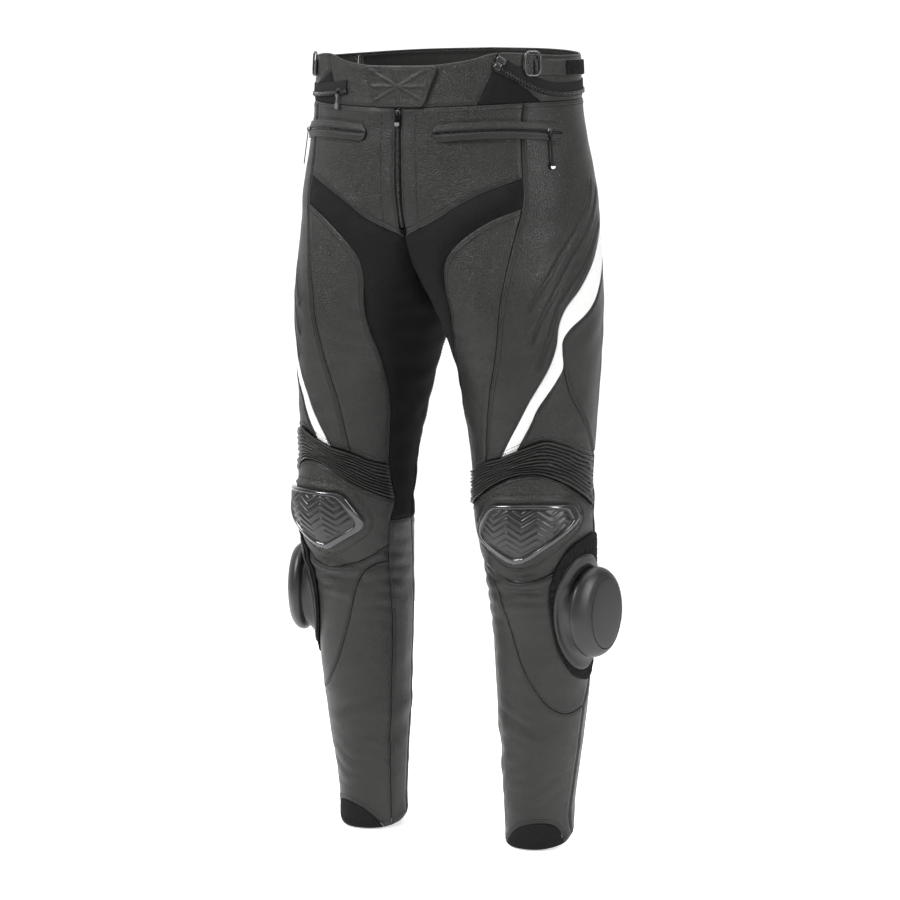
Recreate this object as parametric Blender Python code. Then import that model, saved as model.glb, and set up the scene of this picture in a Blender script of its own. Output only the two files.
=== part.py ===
"""Leather riding trousers held open at the waist.

The garment is cut in panels. Each panel is a closed wall between seams drawn on one smooth form:
an angle round the leg (0 outer side, -90 front, 90 back, 180 inseam) and a height above the
middle of the waistband. The right side mirrors the left.
"""
import math

import bmesh
import bpy
import numpy as np
from mathutils import Matrix, Vector
from mathutils.geometry import delaunay_2d_cdt

for leftover in list(bpy.data.objects):
    bpy.data.objects.remove(leftover, do_unlink=True)

# Driving sizes in metres
LEATHER = 0.0018
STRETCH = 0.0015
LINING = 0.0010
SEAM_GAP = 0.0003
PANEL_GRID = 0.032
FINE_GRID = 0.017
SEAM_STEP = 0.023
FLY_HALF = 0.0042
MIDDLE_GAP = 0.0005
FRONT_BLEND = 0.030

# Form of the left half: each row is one level section of the hip and leg
BODY_COLUMNS = ("height", "centre_x", "centre_y", "half_width", "half_depth")
BODY = np.array([
    (0.080, 0.0000, 0.000, 0.1720, 0.1190),
    (0.030, 0.0000, 0.000, 0.1750, 0.1210),
    (-0.030, 0.0010, 0.000, 0.1780, 0.1240),
    (-0.080, 0.0100, 0.002, 0.1780, 0.1280),
    (-0.130, 0.0320, 0.004, 0.1640, 0.1310),
    (-0.190, 0.0660, 0.005, 0.1320, 0.1300),
    (-0.235, 0.0870, 0.003, 0.1140, 0.1260),
    (-0.278, 0.1020, 0.001, 0.1005, 0.1200),
    (-0.330, 0.1120, 0.000, 0.0900, 0.1090),
    (-0.400, 0.1195, -0.003, 0.0810, 0.0940),
    (-0.460, 0.1240, -0.006, 0.0750, 0.0830),
    (-0.540, 0.1280, -0.008, 0.0740, 0.0780),
    (-0.600, 0.1290, 0.004, 0.0685, 0.0720),
    (-0.670, 0.1280, 0.014, 0.0630, 0.0670),
    (-0.750, 0.1280, 0.018, 0.0590, 0.0630),
    (-0.830, 0.1250, 0.020, 0.0530, 0.0550),
    (-0.900, 0.1220, 0.022, 0.0460, 0.0480),
    (-0.990, 0.1210, 0.023, 0.0425, 0.0450),
])[::-1]

# Folds and padding of each leg: soft swells (+) and hollows (-) of the form
# Columns: angle, height, angle reach, height reach, rise for each degree, swell
FOLDS = np.array([
    (-70.0, -0.545, 52.0, 0.042, 0.00000, 0.0060),
    (-66.0, -0.470, 40.0, 0.010, 0.00000, -0.0030),
    (-88.0, -0.6010, 34.0, 0.0075, 0.00018, -0.0040),
    (-80.0, -0.6140, 38.0, 0.0075, 0.00020, 0.0030),
    (-92.0, -0.6270, 30.0, 0.0080, 0.00012, -0.0030),
    (-105.0, -0.6450, 22.0, 0.0090, 0.00010, 0.0020),
    (-88.0, -0.8000, 30.0, 0.0110, -0.00015, -0.0022),
    (-150.0, -0.8350, 24.0, 0.0120, 0.00020, -0.0026),
    (178.0, -0.8020, 26.0, 0.0130, -0.00020, 0.0024),
    (120.0, -0.5300, 40.0, 0.0120, 0.00015, -0.0040),
    (90.0, -0.5080, 46.0, 0.0110, -0.00010, 0.0032),
    (84.0, -0.4860, 44.0, 0.0120, 0.00012, -0.0040),
    (100.0, -0.3020, 40.0, 0.0160, 0.00030, -0.0045),
    (-128.0, -0.3600, 24.0, 0.0200, -0.00060, -0.0028),
    (96.0, -0.8600, 34.0, 0.0120, 0.00015, -0.0026),
])


def body_column(name, height):
    """Smooth curve through one column of the form: cubic pieces with the table's own slopes."""
    heights = BODY[:, 0]
    values = BODY[:, BODY_COLUMNS.index(name)]
    slopes = np.gradient(values, heights)
    low = np.clip(np.searchsorted(heights, height) - 1, 0, len(heights) - 2)
    span = heights[low + 1] - heights[low]
    t = (height - heights[low]) / span
    start = (1 + 2 * t) * (1 - t) ** 2 * values[low] + t * (1 - t) ** 2 * span * slopes[low]
    end = t * t * (3 - 2 * t) * values[low + 1] + t * t * (t - 1) * span * slopes[low + 1]
    return start + end


def fold_swell(angle, height):
    """Sum of soft ridges and troughs, each a bell along the leg and a bell round it."""
    swell = np.zeros_like(height)
    for middle, level, reach, tall, rise, amount in FOLDS:
        turn = (angle - middle + 180.0) % 360.0 - 180.0
        swell += amount * np.exp(-(turn / reach) ** 2 - ((height - level - rise * turn) / tall) ** 2)
    return swell


def leg_point(angle, height):
    """Point of the left half: an ellipse at each height, swollen by the folds.

    Where it meets its mirror image at the middle, front and back are filled to a soft valley.
    """
    angle, height = np.broadcast_arrays(np.asarray(angle, float), np.asarray(height, float))
    centre_x, centre_y, wide, deep = (body_column(name, height) for name in BODY_COLUMNS[1:])
    turn = np.radians(angle)
    swell = fold_swell(angle, height)
    x = centre_x + (wide + swell) * np.cos(turn)
    reach = (deep + swell) * np.sin(turn)
    other = np.clip((np.abs(x) + centre_x) / wide, 0.0, 1.0)
    behind = np.abs(reach) - deep * np.sqrt(1.0 - other ** 2)
    fill = FRONT_BLEND / 4 * np.clip(1.0 - behind / FRONT_BLEND, 0.0, 1.0) ** 2 * np.sqrt(1.0 - other)
    y = centre_y + reach + np.sign(reach) * fill
    return np.stack([x, y, height], axis=-1)


def waist_point(angle, height):
    """Point of the waist all round: between 90 and 270 degrees the left half is mirrored."""
    angle, height = np.broadcast_arrays(np.asarray(angle, float), np.asarray(height, float))
    angle = (angle + 90.0) % 360.0 - 90.0
    left = angle <= 90.0
    point = leg_point(np.where(left, angle, 180.0 - angle), height)
    return point * np.stack([np.where(left, 1.0, -1.0), np.ones_like(angle), np.ones_like(angle)], axis=-1)


def outward(point, angle, height):
    """Unit normal: the cross product of the slopes round the form and up it."""
    turn, lift = 0.1, 0.0004
    round_slope = point(angle + turn, height) - point(angle - turn, height)
    up_slope = point(angle, height + lift) - point(angle, height - lift)
    normal = np.cross(round_slope, up_slope)
    return normal / np.linalg.norm(normal, axis=-1, keepdims=True)


def mean_radius(height):
    """Metres of cloth for each radian round the form."""
    return (body_column("half_width", height) + body_column("half_depth", height)) / 2


def middle_angle(height, offset, back=False):
    """Angle at which the form stands an offset from the garment's middle plane."""
    cosine = (offset - body_column("centre_x", height)) / body_column("half_width", height)
    turn = math.degrees(math.acos(float(cosine)))
    return turn if back else -turn


def crotch_height(angle):
    """Height at which the form reaches the middle plane at an angle under the crotch."""
    heights = np.linspace(-0.30, -0.12, 721)
    offset = body_column("centre_x", heights) + body_column("half_width", heights) * math.cos(math.radians(angle))
    return float(np.interp(-MIDDLE_GAP, -offset, heights))


FLY_TOP, FLY_END, SEAT_END = -0.024, -0.184, -0.235
BACK_TOP = -0.001
CROTCH_ANGLES = (148.0, 160.0, 172.0, 184.0, 196.0, 208.0, 220.0, 232.0)

# Seams of the left half as (angle, height) in degrees and metres
SEAMS = {
    "band_bottom": [(middle_angle(FLY_TOP, MIDDLE_GAP), FLY_TOP), (middle_angle(FLY_TOP, FLY_HALF), FLY_TOP),
                    (-76, -0.0240), (-57, -0.0215), (-36, -0.0185), (-27, -0.0175), (0, -0.0150),
                    (25, -0.0110), (42, -0.0070), (66, -0.0030), (middle_angle(BACK_TOP, MIDDLE_GAP, True), BACK_TOP)],
    "front_side": [(-36, -0.0185), (-40, -0.065), (-43, -0.110), (-46, -0.146), (-57, -0.200), (-71, -0.262),
                   (-83, -0.325), (-98, -0.388), (-112, -0.4605)],
    "fly_edge": [(middle_angle(level, FLY_HALF), level) for level in (FLY_TOP, -0.080, -0.130, -0.172)]
                + [(middle_angle(FLY_END, MIDDLE_GAP), FLY_END)],
    "stretch_top": [(-43, -0.110), (-60, -0.1250), (-75, -0.1420), (-92, -0.1630),
                    (middle_angle(FLY_END, MIDDLE_GAP), FLY_END)],
    "stretch_edge": [(-46, -0.146), (-61, -0.1590), (-77, -0.1785), (-91, -0.1990), (-100, -0.2170),
                     (-107, -0.2400), (-113, -0.2700), (-122, -0.3050), (-133, -0.3380), (-143, -0.3780),
                     (-149, -0.4260), (-151, -0.4775)],
    "crotch": [(middle_angle(SEAT_END, MIDDLE_GAP, True), SEAT_END)]
              + [(angle, crotch_height(angle)) for angle in CROTCH_ANGLES]
              + [(middle_angle(FLY_END, MIDDLE_GAP) + 360.0, FLY_END)],
    "centre_back": [(middle_angle(level, MIDDLE_GAP, True), level)
                    for level in (BACK_TOP, -0.060, -0.115, -0.160, -0.200, SEAT_END)],
    "side_back": [(42, -0.0070), (39, -0.0700), (33, -0.1450), (30, -0.2000), (27, -0.2700), (24, -0.3500),
                  (24, -0.4555)],
    "flash_front": [(33, -0.1450), (11, -0.1930), (2, -0.2140), (-12, -0.2430), (-26, -0.2670), (-33, -0.2900),
                    (-36, -0.3150), (-42, -0.3380), (-50, -0.3580), (-60, -0.3800), (-72, -0.4090), (-92, -0.4530)],
    "flash_back": [(30, -0.2000), (12, -0.2430), (3, -0.2630), (-7, -0.2770), (-22, -0.2920), (-30, -0.3070),
                   (-31, -0.3230), (-31, -0.3420), (-37, -0.3570), (-46, -0.3750), (-55, -0.3930), (-62, -0.4120),
                   (-76, -0.4440)],
    "lower_side": [(-31, -0.3420), (-25, -0.3740), (-12, -0.4040), (2, -0.4330), (14, -0.4580)],
    "knee_top": [(24, -0.4555), (14, -0.4580), (-6, -0.4520), (-34, -0.4370), (-50, -0.4320), (-68, -0.4395),
                 (-76, -0.4440), (-92, -0.4530), (-112, -0.4605), (-131, -0.4710), (-151, -0.4775)],
    "rib_bottom": [(12, -0.5200), (-14, -0.5000), (-35, -0.4840), (-58, -0.4735), (-80, -0.4755), (-100, -0.4865),
                   (-122, -0.5030), (-142, -0.5150), (-160, -0.5230)],
    "knee_outer": [(14, -0.4580), (13, -0.4900), (12, -0.5200), (14, -0.5630)],
    "under_knee": [(-152, -0.5820), (-124, -0.6010), (-104, -0.6080), (-86, -0.6120), (-62, -0.6050),
                   (-42, -0.5930), (-24, -0.5780), (14, -0.5630)],
    "inner_front": [(-151, -0.4775), (-160, -0.5230), (-155, -0.5500), (-152, -0.5820), (-151, -0.6040),
                    (-152, -0.6450), (-154, -0.7110), (-152, -0.7700), (-149, -0.8500), (-149, -0.8910),
                    (-152, -0.9610)],
    "stretch_bottom": [(-155, -0.5500), (-175, -0.5500), (-188, -0.5510)],
    "inner_rear": [(middle_angle(SEAT_END, MIDDLE_GAP, True), SEAT_END), (150, -0.2680), (150, -0.3100),
                   (153, -0.3700), (158, -0.4300), (160, -0.4550), (166, -0.5050), (172, -0.5510)],
    "inner_back": [(172, -0.5510), (167, -0.5960), (166, -0.6520), (165, -0.7190), (168, -0.8180), (171, -0.8780),
                   (169, -0.9530)],
    "back_knee_top": [(24, -0.4555), (60, -0.4480), (100, -0.4440), (135, -0.4470), (160, -0.4550)],
    "back_knee_bottom": [(14, -0.5630), (60, -0.5680), (110, -0.5620), (150, -0.5540), (172, -0.5510)],
    "shin_curve": [(-151, -0.6040), (-140, -0.6065), (-126, -0.6140), (-116, -0.6290), (-107, -0.6560),
                   (-97, -0.6930), (-84, -0.7320), (-64, -0.7650), (-46, -0.7795), (-28, -0.7840), (-2, -0.7770)],
    "calf_outer": [(14, -0.5630), (34, -0.6000), (36, -0.6500), (26, -0.7100), (-2, -0.7770)],
    "shin_outer": [(-2, -0.7770), (-2, -0.8230), (-4, -0.8740), (-6, -0.9260), (6, -0.9510)],
    "hem_arch": [(-138, -0.9625), (-119, -0.9470), (-96, -0.9345), (-68, -0.9285), (-42, -0.9310), (-28, -0.9400),
                 (-16, -0.9575)],
    "hem_front": [(-152, -0.9610), (-138, -0.9625), (-110, -0.9635), (-64, -0.9630), (-36, -0.9605),
                  (-16, -0.9575), (6, -0.9510)],
    "hem_back": [(6, -0.9510), (50, -0.9460), (100, -0.9455), (140, -0.9490), (169, -0.9530)],
    "hem_inner": [(169, -0.9530), (188, -0.9575), (208, -0.9610)],
    "band_top": [(middle_angle(0.026, MIDDLE_GAP), 0.0260), (-74, 0.0275), (-60, 0.0335), (-47, 0.0420),
                 (-20, 0.0395), (0, 0.0400), (25, 0.0430), (58, 0.0480), (90, 0.0500)],
    "band_end": [(-47, 0.0420), (-50, 0.0200), (-57, -0.0215)],
    "wedge_top": [(-50, 0.0200), (-38, 0.0040), (-27, -0.0175)],
    "band_split": [(25, -0.0110), (25, 0.0430)],
    "band_back_bottom": [(25, -0.0110), (42, -0.0070), (66, -0.0030), (90, BACK_TOP)],
}

# Panels of one side: runs of seams as (seam, first point, last point), round the panel
PANELS = {
    "front_hip": [("band_bottom", 1, 4), ("front_side", 0, 2), ("stretch_top", 0, 4), ("fly_edge", 4, 0)],
    "side_panel": [("band_bottom", 4, 8), ("side_back", 0, 2), ("flash_front", 0, 11), ("knee_top", 7, 8),
                   ("front_side", 8, 0)],
    "front_thigh": [("front_side", 3, 8), ("knee_top", 8, 10), ("stretch_edge", 11, 0)],
    "inner_stretch": [("front_side", 2, 3), ("stretch_edge", 0, 11), ("inner_front", 0, 2), ("stretch_bottom", 0, 2),
                      ("inner_rear", 7, 0), ("crotch", 0, 9), ("stretch_top", 4, 0)],
    "side_flash": [("side_back", 2, 3), ("flash_back", 0, 12), ("knee_top", 6, 7), ("flash_front", 11, 0)],
    "side_lower": [("side_back", 3, 6), ("knee_top", 0, 1), ("lower_side", 4, 0), ("flash_back", 7, 0)],
    "side_wedge": [("lower_side", 0, 4), ("knee_top", 1, 6), ("flash_back", 12, 7)],
    "knee_ribs": [("knee_top", 1, 10), ("inner_front", 0, 1), ("rib_bottom", 8, 0), ("knee_outer", 2, 0)],
    "knee_panel": [("rib_bottom", 0, 8), ("inner_front", 1, 3), ("under_knee", 0, 7), ("knee_outer", 3, 2)],
    "slider_panel": [("under_knee", 7, 0), ("inner_front", 3, 4), ("shin_curve", 0, 10), ("calf_outer", 4, 0)],
    "shin_front": [("shin_curve", 10, 0), ("inner_front", 4, 10), ("hem_front", 0, 1), ("hem_arch", 0, 6),
                   ("hem_front", 5, 6), ("shin_outer", 4, 0)],
    "hem_insert": [("hem_arch", 6, 0), ("hem_front", 1, 5)],
    "calf_inner": [("stretch_bottom", 2, 0), ("inner_front", 2, 10), ("hem_inner", 2, 0), ("inner_back", 6, 0)],
    "calf_back": [("inner_back", 0, 6), ("hem_back", 4, 0), ("shin_outer", 4, 0), ("calf_outer", 4, 0),
                  ("back_knee_bottom", 0, 4)],
    "back_knee": [("back_knee_top", 4, 0), ("knee_top", 0, 1), ("knee_outer", 0, 3), ("back_knee_bottom", 0, 4),
                  ("inner_rear", 7, 5)],
    "back_panel": [("band_bottom", 8, 10), ("centre_back", 0, 5), ("inner_rear", 0, 5), ("back_knee_top", 4, 0),
                   ("side_back", 6, 0)],
    "band_front": [("band_bottom", 0, 3), ("band_end", 2, 0), ("band_top", 3, 0)],
    "band_wedge": [("band_bottom", 3, 5), ("wedge_top", 2, 0), ("band_end", 1, 2)],
    "band_side": [("wedge_top", 0, 2), ("band_bottom", 5, 7), ("band_split", 0, 1), ("band_top", 6, 3),
                  ("band_end", 0, 1)],
}
WRAPPED = ("inner_stretch", "calf_inner")
STRETCH_PANELS = ("inner_stretch", "back_knee", "band_wedge")
FINE_PANELS = ("knee_panel", "slider_panel")

# Lines pressed into the hip beside the flash, as (angle, height)
CHANNELS = [
    [(2, -0.118), (-3, -0.140), (-12, -0.165), (-24, -0.196), (-38, -0.232), (-53, -0.268)],
    [(10, -0.125), (0, -0.160), (-9, -0.186), (-21, -0.213), (-33, -0.246), (-44, -0.276), (-54, -0.305)],
    [(12, -0.165), (2, -0.190), (-10, -0.220), (-23, -0.246), (-33, -0.270), (-41, -0.303), (-51, -0.338)],
]
CHANNEL_HALF, CHANNEL_DEPTH, CHANNEL_STEP = 0.0045, 0.0012, 0.020

# Ribs over the knee: how many, how high, and how far their ends stay from the side seams
RIB_COUNT, RIB_HEIGHT, RIB_MARGIN = 10, 0.0022, 0.0045

# Knee cup: corners as (angle, height), and the profile of its frame and plate as (scale, level)
CUP_CORNERS = [(-107, -0.5120), (-66, -0.5095), (-25, -0.5115), (-18, -0.5300), (-84, -0.5900), (-130, -0.5530)]
CUP_FLOOR, CUP_STEP = 0.0018, 0.018
CUP_RINGS = [(1.0, 0.0034), (0.975, 0.0062), (0.92, 0.0072), (0.865, 0.0066), (0.845, 0.0046), (0.60, 0.0052),
             (0.30, 0.0056)]

# Hook-and-loop pad on the outer calf
PAD_CORNERS = [(-30, -0.5620), (14, -0.5480), (38, -0.5800), (43, -0.6500), (34, -0.7080), (8, -0.7460),
               (-24, -0.7380), (-48, -0.7000), (-57, -0.6300), (-46, -0.5880)]
PAD_FLOOR, PAD_TOP, PAD_GRID = 0.0012, 0.0030, 0.0145

# Knee slider: base plate bent round the calf, then level rings of the moulded puck
PUCK_ANGLE, PUCK_HEIGHT = -12.0, -0.652
BASE_HALF_ANGLE, BASE_HALF_HEIGHT = 38.0, 0.074
BASE_FLOOR, BASE_RINGS = 0.0041, ((1.0, 0.0055), (0.97, 0.0061), (0.84, 0.0067))
PUCK_SIDES = 24
# Columns: half width, half height, shift backwards, distance from the leg's axis
PUCK = [
    (0.0400, 0.0520, 0.000, 0.0735), (0.0445, 0.0560, 0.000, 0.0780), (0.0460, 0.0575, 0.001, 0.0830),
    (0.0440, 0.0560, 0.003, 0.0890), (0.0385, 0.0515, 0.005, 0.0945), (0.0310, 0.0455, 0.007, 0.0975),
    (0.0285, 0.0430, 0.007, 0.0966), (0.0150, 0.0230, 0.007, 0.0976),
]

# Strips: the path of each on the form as (angle, height), and its section as (across, level)
POCKET_PATH = [(-76.5, -0.0560), (-62, -0.0530), (-49, -0.0515), (-34, -0.0525), (-17, -0.0560)]
WELT_SECTION = [(-0.0105, 0.0006), (-0.0105, 0.0016), (-0.0085, 0.0028), (-0.0030, 0.0028), (-0.0018, 0.0018),
                (0.0018, 0.0018), (0.0030, 0.0028), (0.0085, 0.0028), (0.0105, 0.0016), (0.0105, 0.0006)]
CONNECTION_PATH = [(-49, 0.0320), (-42, 0.0205), (-33, 0.0080), (-24, 0.0000), (-12, -0.0030), (10, 0.0000),
                   (40, 0.0065), (70, 0.0110), (90, 0.0120), (110, 0.0110), (140, 0.0065), (170, 0.0000),
                   (195, -0.0030), (222, -0.0040), (243, 0.0000)]
TAPE_SECTION = [(-0.0085, 0.0006), (-0.0085, 0.0016), (-0.0068, 0.0016), (-0.0060, 0.0034), (-0.0030, 0.0034),
                (-0.0020, 0.0016), (0.0085, 0.0016), (0.0085, 0.0006)]
STRAP_PATH = [(-30, 0.0240), (-18, 0.0240), (-6, 0.0240), (8, 0.0245), (17, 0.0250)]
STRAP_SECTION = [(-0.0095, 0.0006), (-0.0095, 0.0024), (0.0095, 0.0024), (0.0095, 0.0006)]
FLY_ZIP_TOP, FLY_ZIP_END = -0.0262, -0.1710
FLY_SECTION = [(-0.0036, -0.0026), (-0.0036, -0.0014), (-0.0022, -0.0014), (-0.0018, -0.0004), (0.0018, -0.0004),
               (0.0022, -0.0014), (0.0036, -0.0014), (0.0036, -0.0026)]
STRIP_STEP = 0.021

# Ring of the side adjuster
RING_ANGLE, RING_HEIGHT, RING_HALF_WIDTH, RING_HALF_HEIGHT = -31.5, 0.0285, 0.0100, 0.0145
RING_WIRE, RING_LEVEL, RING_SIDES, RING_POWER = 0.0013, 0.0041, 20, 4.0

# Tab over the fly, tapering downwards, and the lining of the back waistband
TAB_CORNERS = [(-72.7, 0.0262), (-107.3, 0.0262), (-101.0, -0.0248), (-79.0, -0.0248)]
TAB_FLOOR, TAB_TOP, TAB_GRID = 0.0007, 0.0029, 0.014
LINING_MARGIN, LINING_OUTER = 0.0035, -0.0024

# Zips: a slider with an arch, and a pull whose cross bar hangs in it
SLIDER_HALF_LENGTH, SLIDER_HALF_WIDTH, SLIDER_TOP = 0.0045, 0.0033, 0.0022
ARCH_HALF_OUT, ARCH_HALF_IN, ARCH_ROOF, ARCH_THICK, ARCH_RISE = 0.0024, 0.0013, 0.0010, 0.0011, 0.0024
BAR_HALF, PULL_THICK, WINDOW_HALF, WINDOW_DROP = 0.0006, 0.0012, 0.0012, 0.0042
PULL_HALF_TOP, PULL_HALF_STEM, PULL_SHOULDER = 0.0026, 0.0011, 0.0075
# Sliders as (angle, height, lift, length of the pull, half width of its end)
POCKET_SLIDER = (-25.0, -0.0540, 0.0014, 0.046, 0.0034)
FLY_SLIDER = (-90.0, -0.0318, -0.0014, 0.016, 0.0036)
CONNECTION_SLIDER = (238.0, -0.0058, 0.0010, 0.022, 0.0034)

MATERIALS = {
    "leather": ((0.045, 0.045, 0.042), 0.52, 0.0),
    "white_leather": ((0.86, 0.86, 0.85), 0.45, 0.0),
    "stretch": ((0.020, 0.020, 0.021), 0.85, 0.0),
    "lining": ((0.040, 0.040, 0.038), 0.90, 0.0),
    "zip": ((0.018, 0.018, 0.018), 0.55, 0.0),
    "metal": ((0.55, 0.55, 0.56), 0.30, 1.0),
    "gunmetal": ((0.16, 0.16, 0.17), 0.22, 0.6),
    "hook_and_loop": ((0.018, 0.018, 0.018), 0.95, 0.0),
    "puck": ((0.050, 0.050, 0.052), 0.42, 0.0),
}

garment = bpy.data.collections.new("leather_riding_trousers")
cutters = bpy.data.collections.new("union_pieces")
bpy.context.scene.collection.children.link(garment)
bpy.context.scene.collection.children.link(cutters)
trousers = bpy.data.objects.new("trousers", None)
garment.objects.link(trousers)


def material(name):
    """Principled material of a named finish, made once."""
    if name in bpy.data.materials:
        return bpy.data.materials[name]
    colour, roughness, metallic = MATERIALS[name]
    made = bpy.data.materials.new(name)
    made.use_nodes = True
    shader = made.node_tree.nodes["Principled BSDF"]
    shader.inputs["Base Color"].default_value = (*colour, 1.0)
    shader.inputs["Roughness"].default_value = roughness
    shader.inputs["Metallic"].default_value = metallic
    return made


def add_mesh(name, points, faces, finish, mirrored=False, smooth=True):
    """One object from points and faces; mirrored across the middle plane on request."""
    points = np.array(points, float)
    if mirrored:
        points[:, 0] *= -1.0
        faces = [tuple(reversed(face)) for face in faces]
    mesh = bpy.data.meshes.new(name)
    mesh.from_pydata(points.tolist(), [], [tuple(int(i) for i in face) for face in faces])
    mesh.materials.append(material(finish))
    if smooth:
        mesh.shade_smooth()
        mesh.set_sharp_from_angle(angle=math.radians(40))
    made = bpy.data.objects.new(name, mesh)
    garment.objects.link(made)
    made.parent = trousers
    return made


def seam_run(name, first, last):
    """Stations along a seam between two of its points: a smooth curve cut in even steps."""
    points = np.array(SEAMS[name], float)
    padded = np.vstack([2 * points[0] - points[1], points, 2 * points[-1] - points[-2]])
    low, high = min(first, last), max(first, last)
    stations = []
    for index in range(low, high):
        before, start, end, after = padded[index:index + 4]
        radius = float(mean_radius((start[1] + end[1]) / 2))
        length = math.hypot(math.radians(end[0] - start[0]) * radius, end[1] - start[1])
        steps = max(1, round(length / SEAM_STEP))
        t = (np.arange(steps) / steps)[:, None]
        stations.append(0.5 * (2 * start + (end - before) * t + (2 * before - 5 * start + 4 * end - after) * t ** 2
                               + (3 * start - before - 3 * end + after) * t ** 3))
    stations.append(points[high][None])
    run = np.vstack(stations)
    return run if first < last else run[::-1]


def flatten(pattern):
    """Pattern points in metres: arc length round the form across, height up."""
    return np.stack([np.radians(pattern[:, 0]) * mean_radius(pattern[:, 1]), pattern[:, 1]], axis=1)


def signed_area(outline):
    following = np.roll(outline, -1, axis=0)
    return float(np.sum(outline[:, 0] * following[:, 1] - following[:, 0] * outline[:, 1]) / 2)


def inset(outline, distance):
    """Outline moved inwards by a distance on the cloth, mitred at its corners."""
    scale = np.stack([np.radians(1.0) * mean_radius(outline[:, 1]), np.ones(len(outline))], axis=1)
    before = (outline - np.roll(outline, 1, axis=0)) * scale
    after = (np.roll(outline, -1, axis=0) - outline) * scale
    before /= np.linalg.norm(before, axis=1, keepdims=True)
    after /= np.linalg.norm(after, axis=1, keepdims=True)
    left_before = np.stack([-before[:, 1], before[:, 0]], axis=1)
    left_after = np.stack([-after[:, 1], after[:, 0]], axis=1)
    mitre = left_before + left_after
    stretch = distance / np.maximum(1.0 + np.sum(left_before * left_after, axis=1), 0.25)
    return outline + mitre * stretch[:, None] / scale


def panel_outline(name):
    """Closed outline of a panel from its seams, anticlockwise seen from outside."""
    runs = [seam_run(*run)[:-1] for run in PANELS[name]]
    last_seam, _, last_point = PANELS[name][-1]
    outline = np.vstack([np.mod(run, (360.0, 1e9)) - (0.0, 1e9) if name in WRAPPED else run for run in runs])
    end = np.array(SEAMS[last_seam][last_point], float)
    if name in WRAPPED:
        end[0] %= 360.0
    if np.abs(end - outline[0]).max() > 1e-6:
        outline = np.vstack([outline, end])
    if signed_area(outline) < 0:
        outline = outline[::-1]
    return inset(outline, SEAM_GAP / 2)


def inside(points, outline):
    """Which points lie in the outline: crossings of a level ray are odd."""
    x, y = points[:, 0:1], points[:, 1:2]
    x0, y0 = outline[:, 0][None], outline[:, 1][None]
    x1, y1 = np.roll(outline[:, 0], -1)[None], np.roll(outline[:, 1], -1)[None]
    crosses = (y0 > y) != (y1 > y)
    run = np.where(y1 == y0, 1e-12, y1 - y0)
    return np.sum(crosses & (x < x0 + (y - y0) * (x1 - x0) / run), axis=1) % 2 == 1


def distance_to(points, starts, ends):
    """Shortest distance from each point to a set of straight pieces."""
    along = ends - starts
    rel = points[:, None] - starts[None]
    t = np.clip(np.sum(rel * along, axis=2) / np.maximum(np.sum(along ** 2, axis=1), 1e-12), 0, 1)
    return np.min(np.linalg.norm(rel - t[..., None] * along, axis=2), axis=1)


def lattice(outline, grid):
    """Staggered rows of pattern points over the outline's box."""
    rows = []
    levels = np.arange(outline[:, 1].min(), outline[:, 1].max(), grid * 0.866)
    for index, level in enumerate(levels):
        step = math.degrees(grid / float(mean_radius(level)))
        start = outline[:, 0].min() + step * (0.5 if index % 2 else 0.0)
        angles = np.arange(start, outline[:, 0].max(), step)
        rows.append(np.stack([angles, np.full(len(angles), level)], axis=1))
    return np.vstack(rows)


RIM_ORDER = np.array([1.0, 2.0, 3.0])


def wall(outline, inner_level, outer_level, grid, point=leg_point, lines=()):
    """Closed wall over a pattern outline between two levels above the form.

    Points on the lines keep their order as edges, and stand at each line's own level. The rim's
    quads are split from their lower end along RIM_ORDER, so that two rims on a seam stay parallel.
    """
    flat_outline = flatten(outline)
    count = len(outline)
    starts, ends = [flat_outline], [np.roll(flat_outline, -1, axis=0)]
    pattern, levels, edges = [outline], [np.full(count, outer_level)], []
    edges += [(i, (i + 1) % count) for i in range(count)]
    for line, level in lines:
        first = sum(len(part) for part in pattern)
        pattern.append(line)
        levels.append(np.full(len(line), level))
        edges += [(first + i, first + i + 1) for i in range(len(line) - 1)]
        flat_line = flatten(line)
        starts.append(flat_line[:-1])
        ends.append(flat_line[1:])
    free = lattice(outline, grid)
    free = free[inside(free, outline)]
    free = free[distance_to(flatten(free), np.vstack(starts), np.vstack(ends)) > 0.5 * grid]
    pattern.append(free)
    levels.append(np.full(len(free), outer_level))
    pattern, levels = np.vstack(pattern), np.concatenate(levels)

    plane = [Vector(xy) for xy in flatten(pattern).tolist()]
    corners, _, triangles, sources, _, _ = delaunay_2d_cdt(plane, edges, [list(range(count))], 1, 1e-7)
    source = [origins[0] for origins in sources]
    triangles = [tuple(source[i] for i in triangle) for triangle in triangles]
    form = point(pattern[:, 0], pattern[:, 1])
    normal = outward(point, pattern[:, 0], pattern[:, 1])
    total = len(pattern)
    points = np.vstack([form + normal * levels[:, None], form + normal * inner_level])
    if point is leg_point:
        points[:, 0] = np.maximum(points[:, 0], SEAM_GAP / 2)
    faces = list(triangles) + [(c + total, b + total, a + total) for a, b, c in triangles]
    order = form @ RIM_ORDER
    for i in range(count):
        j = (i + 1) % count
        if order[i] < order[j]:
            faces += [(j, i, j + total), (i, i + total, j + total)]
        else:
            faces += [(j, i, i + total), (j, i + total, j + total)]
    return points, faces


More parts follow.
